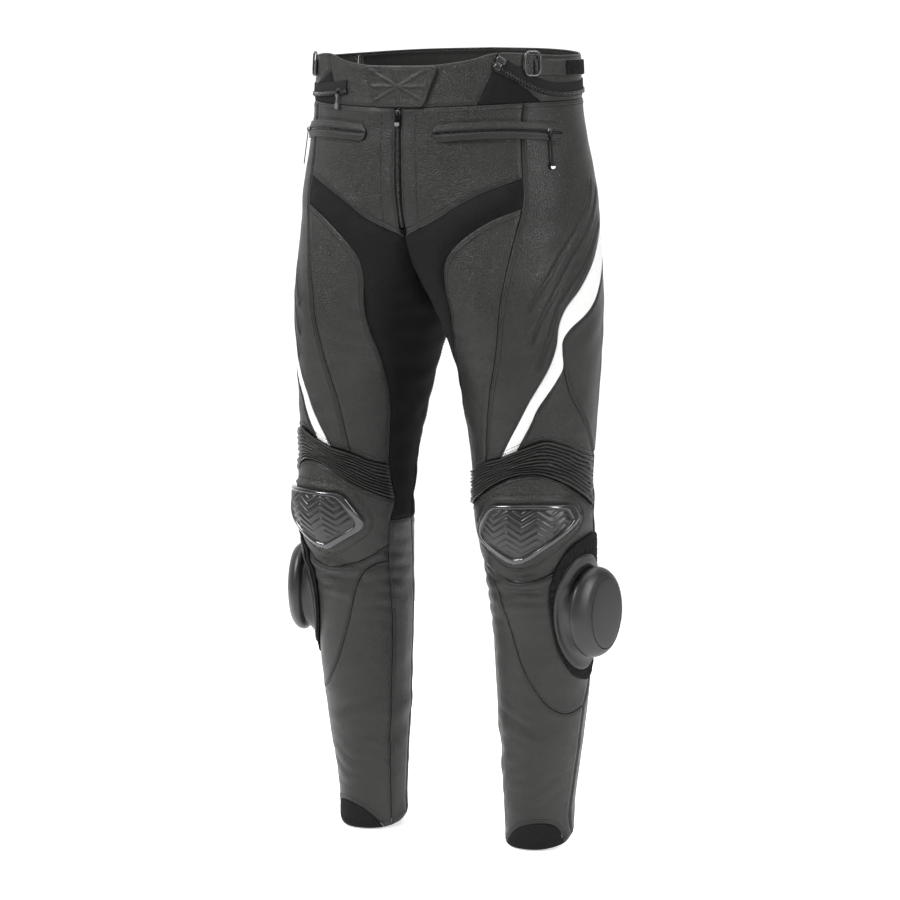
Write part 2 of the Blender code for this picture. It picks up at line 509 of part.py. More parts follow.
def smooth_line(points, step):
    """Even stations along a smooth curve through hand-set pattern points."""
    points = np.array(points, float)
    padded = np.vstack([2 * points[0] - points[1], points, 2 * points[-1] - points[-2]])
    t = np.linspace(0, 1, 12, endpoint=False)[:, None]
    dense = []
    for before, start, end, after in zip(padded[:-3], padded[1:-2], padded[2:-1], padded[3:]):
        dense.append(0.5 * (2 * start + (end - before) * t + (2 * before - 5 * start + 4 * end - after) * t ** 2
                            + (3 * start - before - 3 * end + after) * t ** 3))
    dense = np.vstack(dense + [points[-1][None]])
    flat = flatten(dense)
    arc = np.concatenate([[0.0], np.cumsum(np.linalg.norm(np.diff(flat, axis=0), axis=1))])
    at = np.linspace(0.0, arc[-1], max(2, round(arc[-1] / step) + 1))
    return np.stack([np.interp(at, arc, dense[:, 0]), np.interp(at, arc, dense[:, 1])], axis=1)


def sideways(path, distance):
    """Pattern line moved to its left by a distance on the cloth."""
    scale = np.stack([np.radians(1.0) * mean_radius(path[:, 1]), np.ones(len(path))], axis=1)
    ahead = np.gradient(path, axis=0) * scale
    ahead /= np.linalg.norm(ahead, axis=1, keepdims=True)
    return path + np.stack([-ahead[:, 1], ahead[:, 0]], axis=1) * distance / scale


def channel_lines():
    """Each pressed line: its two shoulders at the cloth's level and its floor below it."""
    lines = []
    for channel in CHANNELS:
        floor = smooth_line(channel, CHANNEL_STEP)
        lines.append((floor, -CHANNEL_DEPTH))
        for shoulder in (CHANNEL_HALF, -CHANNEL_HALF):
            lines.append((sideways(floor, shoulder)[1:-1], 0.0))
    return lines


def arc_share(path):
    """How far along a pattern line each of its points lies, from 0 to 1, and its length."""
    steps = np.linalg.norm(np.diff(flatten(path), axis=0), axis=1)
    arc = np.concatenate([[0.0], np.cumsum(steps)])
    return arc / arc[-1], float(arc[-1])


def rib_lines():
    """Crests and valleys of the knee ribs: the top seam turned step by step into the bottom one."""
    top, bottom = seam_run("knee_top", 1, 10), seam_run("rib_bottom", 0, 8)
    share, length = arc_share(top)
    bottom_share = arc_share(bottom)[0]
    bottom = np.stack([np.interp(share, bottom_share, bottom[:, k]) for k in (0, 1)], axis=1)
    kept = np.clip(share, RIB_MARGIN / length, 1 - RIB_MARGIN / length)
    lines = []
    for index in range(1, 2 * RIB_COUNT):
        part = index / (2 * RIB_COUNT)
        line = top * (1 - part) + bottom * part
        line = np.stack([np.interp(kept, share, line[:, k]) for k in (0, 1)], axis=1)
        lines.append((line, RIB_HEIGHT if index % 2 else 0.0))
    return lines


def rounded(corners, share=0.12):
    """Closed outline whose corners are cut back twice by a share of their sides, which rounds them."""
    outline = np.array(corners, float)
    for _ in range(2):
        following = np.roll(outline, -1, axis=0)
        near = (1 - share) * outline + share * following
        far = share * outline + (1 - share) * following
        outline = np.stack([near, far], axis=1).reshape(-1, 2)
    return outline if signed_area(outline) > 0 else outline[::-1]


def spaced(outline, step):
    """Closed outline in even steps along its straight pieces, keeping its corners."""
    flat = flatten(outline)
    result = []
    for index in range(len(outline)):
        following = (index + 1) % len(outline)
        steps = max(1, round(float(np.linalg.norm(flat[following] - flat[index])) / step))
        t = (np.arange(steps) / steps)[:, None]
        result.append(outline[index] * (1 - t) + outline[following] * t)
    return np.vstack(result)


def boss(outline, rings, floor, floor_scales=(0.75, 0.5, 0.25)):
    """Solid on a panel: the outline drawn smaller and raised ring by ring over a floor."""
    middle = outline.mean(axis=0)
    layers = [(scale, floor) for scale in reversed(floor_scales)] + [(1.0, floor)] + list(rings)
    points = []
    for scale, level in layers:
        ring = middle + (outline - middle) * scale
        points.append(leg_point(ring[:, 0], ring[:, 1]) + outward(leg_point, ring[:, 0], ring[:, 1]) * level)
    return loft(points)


def loft(rings):
    """Closed solid through rings of equal count, its first and last ring closed to a point."""
    count = len(rings[0])
    points = np.vstack([rings[0].mean(axis=0)] + list(rings) + [rings[-1].mean(axis=0)])
    last = len(points) - 1
    faces = []
    for i in range(count):
        j = (i + 1) % count
        faces.append((0, 1 + j, 1 + i))
        faces.append((last, last - count + i, last - count + j))
        for layer in range(len(rings) - 1):
            a, b = 1 + layer * count, 1 + (layer + 1) * count
            faces += [(a + i, a + j, b + j), (a + i, b + j, b + i)]
    return points, faces


def knee_slider():
    """Base plate that follows the calf, turned up into the level rings of the puck."""
    turn = np.linspace(0, 2 * math.pi, PUCK_SIDES, endpoint=False)
    across, up = np.cos(turn), np.sin(turn)
    base = np.stack([PUCK_ANGLE + BASE_HALF_ANGLE * across, PUCK_HEIGHT + BASE_HALF_HEIGHT * up], axis=1)
    middle = base.mean(axis=0)
    rings = []
    for scale, level in [(0.34, BASE_FLOOR), (0.67, BASE_FLOOR), (1.0, BASE_FLOOR), *BASE_RINGS]:
        ring = middle + (base - middle) * scale
        rings.append(leg_point(ring[:, 0], ring[:, 1]) + outward(leg_point, ring[:, 0], ring[:, 1]) * level)
    facing = math.radians(PUCK_ANGLE)
    out = np.array([math.cos(facing), math.sin(facing), 0.0])
    back = np.array([-math.sin(facing), math.cos(facing), 0.0])
    axis = np.array([body_column("centre_x", PUCK_HEIGHT), body_column("centre_y", PUCK_HEIGHT), PUCK_HEIGHT])
    for half_width, half_height, shift, distance in PUCK:
        rings.append(axis + out * distance + np.outer(shift + half_width * across, back)
                     + np.outer(half_height * up, (0.0, 0.0, 1.0)))
    return loft(rings)


def sweep(centres, across, normals, section, widths):
    """Closed band: the section drawn across and out from each centre, with flat ends."""
    section = np.array(section, float)
    points = (centres[:, None] + across[:, None] * (section[None, :, 0:1] * widths[:, None, None])
              + normals[:, None] * section[None, :, 1:2]).reshape(-1, 3)
    wide, long = len(section), len(centres)
    faces = []
    for row in range(long - 1):
        for k in range(wide):
            a, b = row * wide + k, row * wide + (k + 1) % wide
            faces += [(a, b, b + wide), (a, b + wide, a + wide)]
    end = (long - 1) * wide
    cap = [(0, k + 1, k) for k in range(1, wide - 1)]
    faces += cap + [tuple(end + i for i in reversed(face)) for face in cap]
    return points, faces


def strip(path, section, point=leg_point, round_ends=False):
    """Band along a path on the form, its section carried along; round ends narrow to a half circle."""
    path = smooth_line(path, STRIP_STEP)
    centres = point(path[:, 0], path[:, 1])
    normals = outward(point, path[:, 0], path[:, 1])
    widths = np.ones(len(path))
    if round_ends:
        half = max(abs(across) for across, _ in section)
        share, length = arc_share(path)
        ends = np.array([0.10, 0.45]) * half / length
        inner = np.linspace(half / length, 1 - half / length, len(path) - 2)
        share_wanted = np.concatenate([[0.0], ends, inner, 1 - ends[::-1], [1.0]])
        path = np.stack([np.interp(share_wanted, share, path[:, k]) for k in (0, 1)], axis=1)
        centres = point(path[:, 0], path[:, 1])
        normals = outward(point, path[:, 0], path[:, 1])
        from_end = np.minimum(share_wanted, 1 - share_wanted) * length
        widths = np.sqrt(np.clip(1 - np.clip(1 - from_end / half, 0, 1) ** 2, 0.08, 1))
    ahead = np.gradient(centres, axis=0)
    across = np.cross(normals, ahead)
    across /= np.linalg.norm(across, axis=1, keepdims=True)
    return sweep(centres, across, normals, section, widths)


def fly_frame(heights):
    """Middle line of the front: its points and the normals square to it."""
    angles = np.array([middle_angle(height, 0.0) for height in heights])
    centres = leg_point(angles, heights)
    centres[:, 0] = 0.0
    along = np.gradient(centres, axis=0)
    along /= np.linalg.norm(along, axis=1, keepdims=True)
    return centres, np.cross(along, (1.0, 0.0, 0.0)) * np.sign(-along[:, 2:3])


def turned_out(points, faces):
    """The same solid with its faces pointing outwards."""
    corners = np.asarray(points)[np.array(faces)]
    volume = np.sum(corners[:, 0] * np.cross(corners[:, 1], corners[:, 2]))
    return faces if volume > 0 else [tuple(reversed(face)) for face in faces]


def placement(here, out, lift):
    """Frame on the cloth: Z straight out, Y up the cloth, X along it, raised by a lift."""
    here, out = Vector(here), Vector(out).normalized()
    up = (Vector((0, 0, 1)) - out * out.z).normalized()
    frame = Matrix((up.cross(out), up, out)).transposed().to_4x4()
    frame.translation = here + out * lift
    return frame


def plate(name, outlines, thickness, seat, finish, collection=garment):
    """Flat piece cut from closed outlines, the later ones as holes, and set in place."""
    curve = bpy.data.curves.new(name, "CURVE")
    curve.dimensions = "2D"
    curve.fill_mode = "BOTH"
    curve.extrude = thickness / 2
    for outline in outlines:
        spline = curve.splines.new("POLY")
        spline.points.add(len(outline) - 1)
        for spot, (x, y) in zip(spline.points, outline):
            spot.co = (x, y, 0.0, 1.0)
        spline.use_cyclic_u = True
    drawn = bpy.data.objects.new(name + "_outline", curve)
    collection.objects.link(drawn)
    bpy.context.view_layer.update()
    mesh = bpy.data.meshes.new_from_object(drawn.evaluated_get(bpy.context.evaluated_depsgraph_get()))
    bpy.data.objects.remove(drawn, do_unlink=True)
    work = bmesh.new()
    work.from_mesh(mesh)
    bmesh.ops.remove_doubles(work, verts=work.verts, dist=1e-6)
    bmesh.ops.recalc_face_normals(work, faces=work.faces)
    work.to_mesh(mesh)
    work.free()
    mesh.materials.clear()
    mesh.materials.append(material(finish))
    made = bpy.data.objects.new(name, mesh)
    collection.objects.link(made)
    made.parent = trousers
    made.matrix_world = seat
    return made


def box_outline(left, right, low, high):
    return [(left, low), (right, low), (right, high), (left, high)]


def unite(target, addition):
    """Boolean union of a hidden piece into a node."""
    addition.hide_render = True
    addition.display_type = "WIRE"
    union = target.modifiers.new("union", "BOOLEAN")
    union.operation = "UNION"
    union.solver = "EXACT"
    union.object = addition


def zip_slider(zip_object, name, seat):
    """Slider block with the arch that holds the pull's bar, united with its zip."""
    body = plate(name + "_body", [box_outline(-SLIDER_HALF_WIDTH, SLIDER_HALF_WIDTH, -SLIDER_HALF_LENGTH,
                                              SLIDER_HALF_LENGTH)], SLIDER_TOP, seat, "metal", cutters)
    body.matrix_world = seat @ Matrix.Translation((0, 0, SLIDER_TOP / 2))
    roof = SLIDER_TOP + ARCH_RISE
    arch = plate(name + "_arch", [
        box_outline(-ARCH_HALF_OUT, ARCH_HALF_OUT, SLIDER_TOP - ARCH_ROOF, roof + ARCH_ROOF),
        box_outline(-ARCH_HALF_IN, ARCH_HALF_IN, SLIDER_TOP - ARCH_ROOF / 2, roof)], ARCH_THICK, seat, "metal", cutters)
    arch.matrix_world = seat @ Matrix(((0, 0, 1, 0), (1, 0, 0, 0), (0, 1, 0, 0), (0, 0, 0, 1)))
    unite(zip_object, body)
    unite(zip_object, arch)


def zip_pull(name, seat, length, half_end):
    """Pull tab hung by its top bar in the slider's arch; its origin is on the hinge."""
    window = box_outline(-WINDOW_HALF, WINDOW_HALF, -WINDOW_DROP, -BAR_HALF)
    right = [(PULL_HALF_TOP, BAR_HALF), (PULL_HALF_TOP, -PULL_SHOULDER + PULL_HALF_TOP),
             (PULL_HALF_STEM, -PULL_SHOULDER), (PULL_HALF_STEM, 2.6 * half_end - length),
             (half_end, 2.0 * half_end - length), (0.85 * half_end, 0.4 * half_end - length), (0.0, -length)]
    outline = right + [(-x, y) for x, y in reversed(right[:-1])]
    hinge = seat @ Matrix.Translation((0, 0, SLIDER_TOP + ARCH_RISE / 2))
    return plate(name, [outline, window], PULL_THICK, hinge, "metal")


def mirrored_pair(name, points, faces, finish):
    """The left piece and its mirror image."""
    faces = turned_out(points, faces)
    return [add_mesh(f"{name}_{side}", points, faces, finish, side == "right") for side in ("left", "right")]


def cloth_panels():
    """Every panel of both sides, with the pressed lines and the ribs where they belong."""
    for name in PANELS:
        finish, thickness = ("stretch", STRETCH) if name in STRETCH_PANELS else ("leather", LEATHER)
        if name == "side_flash":
            finish = "white_leather"
        grid = FINE_GRID if name in FINE_PANELS else PANEL_GRID
        relief = {"side_panel": channel_lines, "knee_ribs": rib_lines}.get(name, tuple)()
        mirrored_pair(name, *wall(panel_outline(name), -thickness, 0.0, grid, lines=relief), finish)


def back_waistband():
    """Back waistband from side to side, its lining, and the tab over the fly."""
    low = seam_run("band_bottom", 7, 10)
    low[-1, 0] = 90.0
    high = seam_run("band_top", 8, 6)
    flip = np.array([180.0, 0.0])
    outline = np.vstack([low, (flip + low * (-1, 1))[::-1][1:], (flip + high * (-1, 1))[::-1], high[1:]])
    outer = inset(outline, SEAM_GAP / 2)
    add_mesh("band_back", *wall(outer, -LEATHER, 0.0, PANEL_GRID, waist_point), "leather")
    inner = inset(outline, LINING_MARGIN)
    add_mesh("band_lining", *wall(inner, LINING_OUTER - LINING, LINING_OUTER, PANEL_GRID, waist_point), "lining")
    tab = spaced(rounded(TAB_CORNERS), TAB_GRID)
    add_mesh("fly_tab", *wall(tab, TAB_FLOOR, TAB_TOP, TAB_GRID, waist_point), "leather")


def knee_hardware():
    """Cup on each knee, and the pad and slider on each outer calf."""
    cup = spaced(rounded(CUP_CORNERS), CUP_STEP)
    mirrored_pair("knee_cup", *boss(cup, CUP_RINGS, CUP_FLOOR), "gunmetal")
    pad = spaced(rounded(PAD_CORNERS, 0.2), PAD_GRID)
    mirrored_pair("slider_pad", *wall(pad, PAD_FLOOR, PAD_TOP, PAD_GRID), "hook_and_loop")
    mirrored_pair("knee_slider", *knee_slider(), "puck")


def side_adjusters():
    """Strap on each side of the waistband and the wire ring it passes through."""
    mirrored_pair("adjuster_strap", *strip(STRAP_PATH, STRAP_SECTION), "leather")
    seat = placement(leg_point(RING_ANGLE, RING_HEIGHT),
                     outward(leg_point, np.array([RING_ANGLE]), np.array([RING_HEIGHT]))[0], RING_LEVEL)
    for side in ("left", "right"):
        wire = bpy.data.curves.new("adjuster_ring_" + side, "CURVE")
        wire.dimensions = "3D"
        wire.bevel_depth = RING_WIRE
        wire.bevel_resolution = 1
        spline = wire.splines.new("POLY")
        spline.points.add(RING_SIDES - 1)
        for index, spot in enumerate(spline.points):
            turn = 2 * math.pi * (index + 0.5) / RING_SIDES
            size = (abs(math.cos(turn)) ** RING_POWER + abs(math.sin(turn)) ** RING_POWER) ** (-1 / RING_POWER)
            place = seat @ Vector((RING_HALF_WIDTH * size * math.cos(turn), RING_HALF_HEIGHT * size * math.sin(turn), 0))
            spot.co = (place.x if side == "left" else -place.x, place.y, place.z, 1.0)
        spline.use_cyclic_u = True
        wire.materials.append(material("metal"))
        ring = bpy.data.objects.new("adjuster_ring_" + side, wire)
        garment.objects.link(ring)
        ring.parent = trousers


def zips():
    """Pocket, fly and connection zips with their sliders and pulls."""
    angle, height, lift, length, half_end = POCKET_SLIDER
    here = leg_point(angle, height)
    out = outward(leg_point, np.array([angle]), np.array([height]))[0]
    welts = mirrored_pair("pocket_zip", *strip(POCKET_PATH, WELT_SECTION, round_ends=True), "leather")
    for side, welt, flip in (("left", welts[0], 1.0), ("right", welts[1], -1.0)):
        seat = placement(here * (flip, 1, 1), out * (flip, 1, 1), lift)
        zip_slider(welt, "pocket_slider_" + side, seat)
        zip_pull("pocket_pull_" + side, seat, length, half_end)

    heights = np.linspace(FLY_ZIP_TOP, FLY_ZIP_END, 12)
    centres, normals = fly_frame(heights)
    across = np.tile((1.0, 0.0, 0.0), (len(heights), 1))
    points, faces = sweep(centres, across, normals, FLY_SECTION, np.ones(len(heights)))
    fly = add_mesh("fly_zip", points, turned_out(points, faces), "zip")
    height, lift, length, half_end = FLY_SLIDER[1:]
    middle, out = fly_frame(np.array([height + 0.001, height, height - 0.001]))
    seat = placement(middle[1], out[1], lift)
    zip_slider(fly, "fly_slider", seat)
    zip_pull("fly_pull", seat, length, half_end)

    points, faces = strip(CONNECTION_PATH, TAPE_SECTION, waist_point)
    tape = add_mesh("connection_zip", points, turned_out(points, faces), "zip")
    angle, height, lift, length, half_end = CONNECTION_SLIDER
    out = outward(waist_point, np.array([angle]), np.array([height]))[0]
    seat = placement(waist_point(angle, height), out, lift)
    zip_slider(tape, "connection_slider", seat)
    zip_pull("connection_pull", seat, length, half_end)


cloth_panels()
back_waistband()
knee_hardware()
side_adjusters()
zips()
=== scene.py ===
"""Black leather riding trousers, standing open as worn: every panel, zip and fitting of the pair.

Each cloth piece is drawn on one smooth form by an angle round the leg (0 outer side, -90 front,
90 back, 180 inseam) and a height above the middle of the waistband. The right side mirrors the left.
"""
import math

import bpy
import numpy as np
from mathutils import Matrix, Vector
from mathutils.geometry import delaunay_2d_cdt


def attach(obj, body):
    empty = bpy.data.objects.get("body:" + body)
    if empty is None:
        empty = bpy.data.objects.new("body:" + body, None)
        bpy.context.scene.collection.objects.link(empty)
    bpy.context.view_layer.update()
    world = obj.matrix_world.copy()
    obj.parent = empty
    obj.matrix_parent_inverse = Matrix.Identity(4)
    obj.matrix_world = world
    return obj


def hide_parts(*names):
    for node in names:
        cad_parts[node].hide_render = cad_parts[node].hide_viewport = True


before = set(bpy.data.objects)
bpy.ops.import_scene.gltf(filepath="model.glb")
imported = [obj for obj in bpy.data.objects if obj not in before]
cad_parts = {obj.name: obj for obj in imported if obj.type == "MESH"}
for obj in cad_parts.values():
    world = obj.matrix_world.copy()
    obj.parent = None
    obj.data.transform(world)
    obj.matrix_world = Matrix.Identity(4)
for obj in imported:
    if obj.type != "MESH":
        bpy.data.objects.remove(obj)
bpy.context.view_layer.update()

# ---- Floor, light and camera ----
# A pale studio floor before a lit white wall, in a dimmer room with three softboxes. The camera
# stands to the wearer's left of the front, at the waistband, and looks down at the middle.
FLOOR_LEVEL = -0.9655
FLOOR_HALF = 1.5
CAMERA_TURN, CAMERA_DISTANCE, CAMERA_HEIGHT = math.radians(27.5), 3.82, 0.03
AIM_HEIGHT, AIM_SIDE, LENS = -0.4606, 0.0030, 120.7


def plain_material(name, colour, roughness):
    """Principled material of one colour, for the stage."""
    made = bpy.data.materials.new(name)
    made.use_nodes = True
    shader = made.node_tree.nodes["Principled BSDF"]
    shader.inputs["Base Color"].default_value = (*colour, 1.0)
    shader.inputs["Roughness"].default_value = roughness
    return made


floor_mesh = bpy.data.meshes.new("studio_floor")
floor_mesh.from_pydata([(x * FLOOR_HALF, y * FLOOR_HALF, FLOOR_LEVEL) for x, y in ((-1, -1), (1, -1), (1, 1), (-1, 1))],
                       [], [(0, 1, 2, 3)])
pale_floor = plain_material("pale_floor", (0.92, 0.92, 0.92), 0.9)
pale_floor.node_tree.nodes["Principled BSDF"].inputs["Emission Color"].default_value = (1.0, 1.0, 1.0, 1.0)
pale_floor.node_tree.nodes["Principled BSDF"].inputs["Emission Strength"].default_value = 0.50
floor_mesh.materials.append(pale_floor)
floor = bpy.data.objects.new("studio_floor", floor_mesh)
bpy.context.scene.collection.objects.link(floor)

world = bpy.data.worlds.new("studio")
world.use_nodes = True
# the wall fills the directions that lead away behind the garment; the rest of the room is dim
facing_wall = world.node_tree.nodes.new("ShaderNodeVectorMath")
facing_wall.operation = "DOT_PRODUCT"
facing_wall.inputs[1].default_value = (-math.sin(CAMERA_TURN), math.cos(CAMERA_TURN), 0.0)
room_view = world.node_tree.nodes.new("ShaderNodeTexCoord")
wall_light = world.node_tree.nodes.new("ShaderNodeMapRange")
wall_light.inputs["From Min"].default_value, wall_light.inputs["From Max"].default_value = 0.30, 0.86
wall_light.inputs["To Min"].default_value, wall_light.inputs["To Max"].default_value = 0.26, 1.15
world.node_tree.links.new(room_view.outputs["Generated"], facing_wall.inputs[0])
world.node_tree.links.new(facing_wall.outputs["Value"], wall_light.inputs["Value"])
world.node_tree.links.new(wall_light.outputs["Result"], world.node_tree.nodes["Background"].inputs["Strength"])
world.node_tree.nodes["Background"].inputs["Color"].default_value = (1.0, 1.0, 1.0, 1.0)
bpy.context.scene.world = world


def softbox(name, place, aim, wide, tall, power):
    """Rectangular area light at a place, turned to face an aim point."""
    light = bpy.data.lights.new(name, "AREA")
    light.shape = "RECTANGLE"
    light.size, light.size_y, light.energy = wide, tall, power
    made = bpy.data.objects.new(name, light)
    made.location = place
    made.rotation_euler = (Vector(aim) - Vector(place)).to_track_quat("-Z", "Y").to_euler()
    bpy.context.scene.collection.objects.link(made)


softbox("key_left", (-1.9, -2.2, 2.1), (0.0, 0.0, -0.5), 1.0, 1.6, 230.0)
softbox("fill_right", (3.2, -0.9, 0.8), (0.1, 0.0, -0.5), 0.7, 2.2, 110.0)
softbox("top", (0.2, 0.3, 2.4), (0.0, 0.0, -0.3), 3.2, 3.2, 110.0)

camera_data = bpy.data.cameras.new("camera")
camera_data.lens, camera_data.sensor_width = LENS, 36.0
camera = bpy.data.objects.new("camera", camera_data)
camera.location = (CAMERA_DISTANCE * math.sin(CAMERA_TURN), -CAMERA_DISTANCE * math.cos(CAMERA_TURN), CAMERA_HEIGHT)
aim_point = Vector((AIM_SIDE * math.cos(CAMERA_TURN), AIM_SIDE * math.sin(CAMERA_TURN), AIM_HEIGHT))
camera.rotation_euler = (aim_point - camera.location).to_track_quat("-Z", "Y").to_euler()
bpy.context.scene.collection.objects.link(camera)
bpy.context.scene.camera = camera
bpy.context.scene.view_settings.view_transform = "Standard"

# ---- Cowhide panels ----
# Drum-dyed black cowhide 1.8 mm thick, cut in panels and closed with lapped, topstitched seams.
# Each panel is folded under at its edge, so it dips at the seam and rolls up just beside it.
LEATHER, STRETCH, LINING = 0.0018, 0.0015, 0.0010
SEAM_GAP, MIDDLE_GAP, FLY_HALF, FRONT_BLEND = 0.0003, 0.0005, 0.0042, 0.030
SEAM_STEP, CUT_GRID = 0.0040, 0.0042

# Form of the left half: each row is one level section of the hip and leg
BODY_COLUMNS = ("height", "centre_x", "centre_y", "half_width", "half_depth")
BODY = np.array([
    (0.080, 0.0000, 0.000, 0.1720, 0.1190),
    (0.030, 0.0000, 0.000, 0.1750, 0.1210),
    (-0.030, 0.0010, 0.000, 0.1780, 0.1240),
    (-0.080, 0.0100, 0.002, 0.1780, 0.1280),
    (-0.130, 0.0320, 0.004, 0.1640, 0.1310),
    (-0.190, 0.0660, 0.005, 0.1320, 0.1300),
    (-0.235, 0.0870, 0.003, 0.1140, 0.1260),
    (-0.278, 0.1020, 0.001, 0.1005, 0.1200),
    (-0.330, 0.1120, 0.000, 0.0900, 0.1090),
    (-0.400, 0.1195, -0.003, 0.0810, 0.0940),
    (-0.460, 0.1240, -0.006, 0.0750, 0.0830),
    (-0.540, 0.1280, -0.008, 0.0740, 0.0780),
    (-0.600, 0.1290, 0.004, 0.0685, 0.0720),
    (-0.670, 0.1280, 0.014, 0.0630, 0.0670),
    (-0.750, 0.1280, 0.018, 0.0590, 0.0630),
    (-0.830, 0.1250, 0.020, 0.0530, 0.0550),
    (-0.900, 0.1220, 0.022, 0.0460, 0.0480),
    (-0.990, 0.1210, 0.023, 0.0425, 0.0450),
])[::-1]

# Folds and padding of each leg: angle, height, angle reach, height reach, rise for each degree, swell
FOLDS = [
    (-70.0, -0.545, 52.0, 0.042, 0.00000, 0.0060),
    (-66.0, -0.470, 40.0, 0.010, 0.00000, -0.0030),
    (-88.0, -0.6010, 34.0, 0.0075, 0.00018, -0.0040),
    (-80.0, -0.6140, 38.0, 0.0075, 0.00020, 0.0030),
    (-92.0, -0.6270, 30.0, 0.0080, 0.00012, -0.0030),
    (-105.0, -0.6450, 22.0, 0.0090, 0.00010, 0.0020),
    (-88.0, -0.8000, 30.0, 0.0110, -0.00015, -0.0022),
    (-150.0, -0.8350, 24.0, 0.0120, 0.00020, -0.0026),
    (178.0, -0.8020, 26.0, 0.0130, -0.00020, 0.0024),
    (120.0, -0.5300, 40.0, 0.0120, 0.00015, -0.0040),
    (90.0, -0.5080, 46.0, 0.0110, -0.00010, 0.0032),
    (84.0, -0.4860, 44.0, 0.0120, 0.00012, -0.0040),
    (100.0, -0.3020, 40.0, 0.0160, 0.00030, -0.0045),
    (-128.0, -0.3600, 24.0, 0.0200, -0.00060, -0.0028),
    (96.0, -0.8600, 34.0, 0.0120, 0.00015, -0.0026),
]


def body_column(name, height):
    """Smooth curve through one column of the form: cubic pieces with the table's own slopes."""
    heights = BODY[:, 0]
    values = BODY[:, BODY_COLUMNS.index(name)]
    slopes = np.gradient(values, heights)
    low = np.clip(np.searchsorted(heights, height) - 1, 0, len(heights) - 2)
    span = heights[low + 1] - heights[low]
    t = (height - heights[low]) / span
    start = (1 + 2 * t) * (1 - t) ** 2 * values[low] + t * (1 - t) ** 2 * span * slopes[low]
    end = t * t * (3 - 2 * t) * values[low + 1] + t * t * (t - 1) * span * slopes[low + 1]
    return start + end


def fold_swell(angle, height):
    """Sum of soft ridges and troughs, each a bell along the leg and a bell round it."""
    swell = np.zeros_like(height)
    for middle, level, reach, tall, rise, amount in FOLDS:
        turn = (angle - middle + 180.0) % 360.0 - 180.0
        swell += amount * np.exp(-(turn / reach) ** 2 - ((height - level - rise * turn) / tall) ** 2)
    return swell


def leg_point(angle, height):
    """Point of the left half: an ellipse at each height, swollen by the folds.

    Where it meets its mirror image at the middle, front and back are filled to a soft valley.
    """
    angle, height = np.broadcast_arrays(np.asarray(angle, float), np.asarray(height, float))
    centre_x, centre_y, wide, deep = (body_column(name, height) for name in BODY_COLUMNS[1:])
    turn = np.radians(angle)
    swell = fold_swell(angle, height)
    x = centre_x + (wide + swell) * np.cos(turn)
    reach = (deep + swell) * np.sin(turn)
    other = np.clip((np.abs(x) + centre_x) / wide, 0.0, 1.0)
    behind = np.abs(reach) - deep * np.sqrt(1.0 - other ** 2)
    fill = FRONT_BLEND / 4 * np.clip(1.0 - behind / FRONT_BLEND, 0.0, 1.0) ** 2 * np.sqrt(1.0 - other)
    y = centre_y + reach + np.sign(reach) * fill
    return np.stack([x, y, height], axis=-1)


def waist_point(angle, height):
    """Point of the waist all round: between 90 and 270 degrees the left half is mirrored."""
    angle, height = np.broadcast_arrays(np.asarray(angle, float), np.asarray(height, float))
    angle = (angle + 90.0) % 360.0 - 90.0
    left = angle <= 90.0
    point = leg_point(np.where(left, angle, 180.0 - angle), height)
    return point * np.stack([np.where(left, 1.0, -1.0), np.ones_like(angle), np.ones_like(angle)], axis=-1)


def outward(point, angle, height):
    """Unit normal: the cross product of the slopes round the form and up it."""
    turn, lift = 0.1, 0.0004
    round_slope = point(angle + turn, height) - point(angle - turn, height)
    up_slope = point(angle, height + lift) - point(angle, height - lift)
    normal = np.cross(round_slope, up_slope)
    return normal / np.linalg.norm(normal, axis=-1, keepdims=True)


def mean_radius(height):
    """Metres of cloth for each radian round the form."""
    return (body_column("half_width", height) + body_column("half_depth", height)) / 2


def middle_angle(height, offset, back=False):
    """Angle at which the form stands an offset from the garment's middle plane."""
    cosine = (offset - body_column("centre_x", height)) / body_column("half_width", height)
    turn = math.degrees(math.acos(float(cosine)))
    return turn if back else -turn


def crotch_height(angle):
    """Height at which the form reaches the middle plane at an angle under the crotch."""
    heights = np.linspace(-0.30, -0.12, 721)
    offset = body_column("centre_x", heights) + body_column("half_width", heights) * math.cos(math.radians(angle))
    return float(np.interp(-MIDDLE_GAP, -offset, heights))


FLY_TOP, FLY_END, SEAT_END = -0.024, -0.184, -0.235
BACK_TOP = -0.001
CROTCH_ANGLES = (148.0, 160.0, 172.0, 184.0, 196.0, 208.0, 220.0, 232.0)

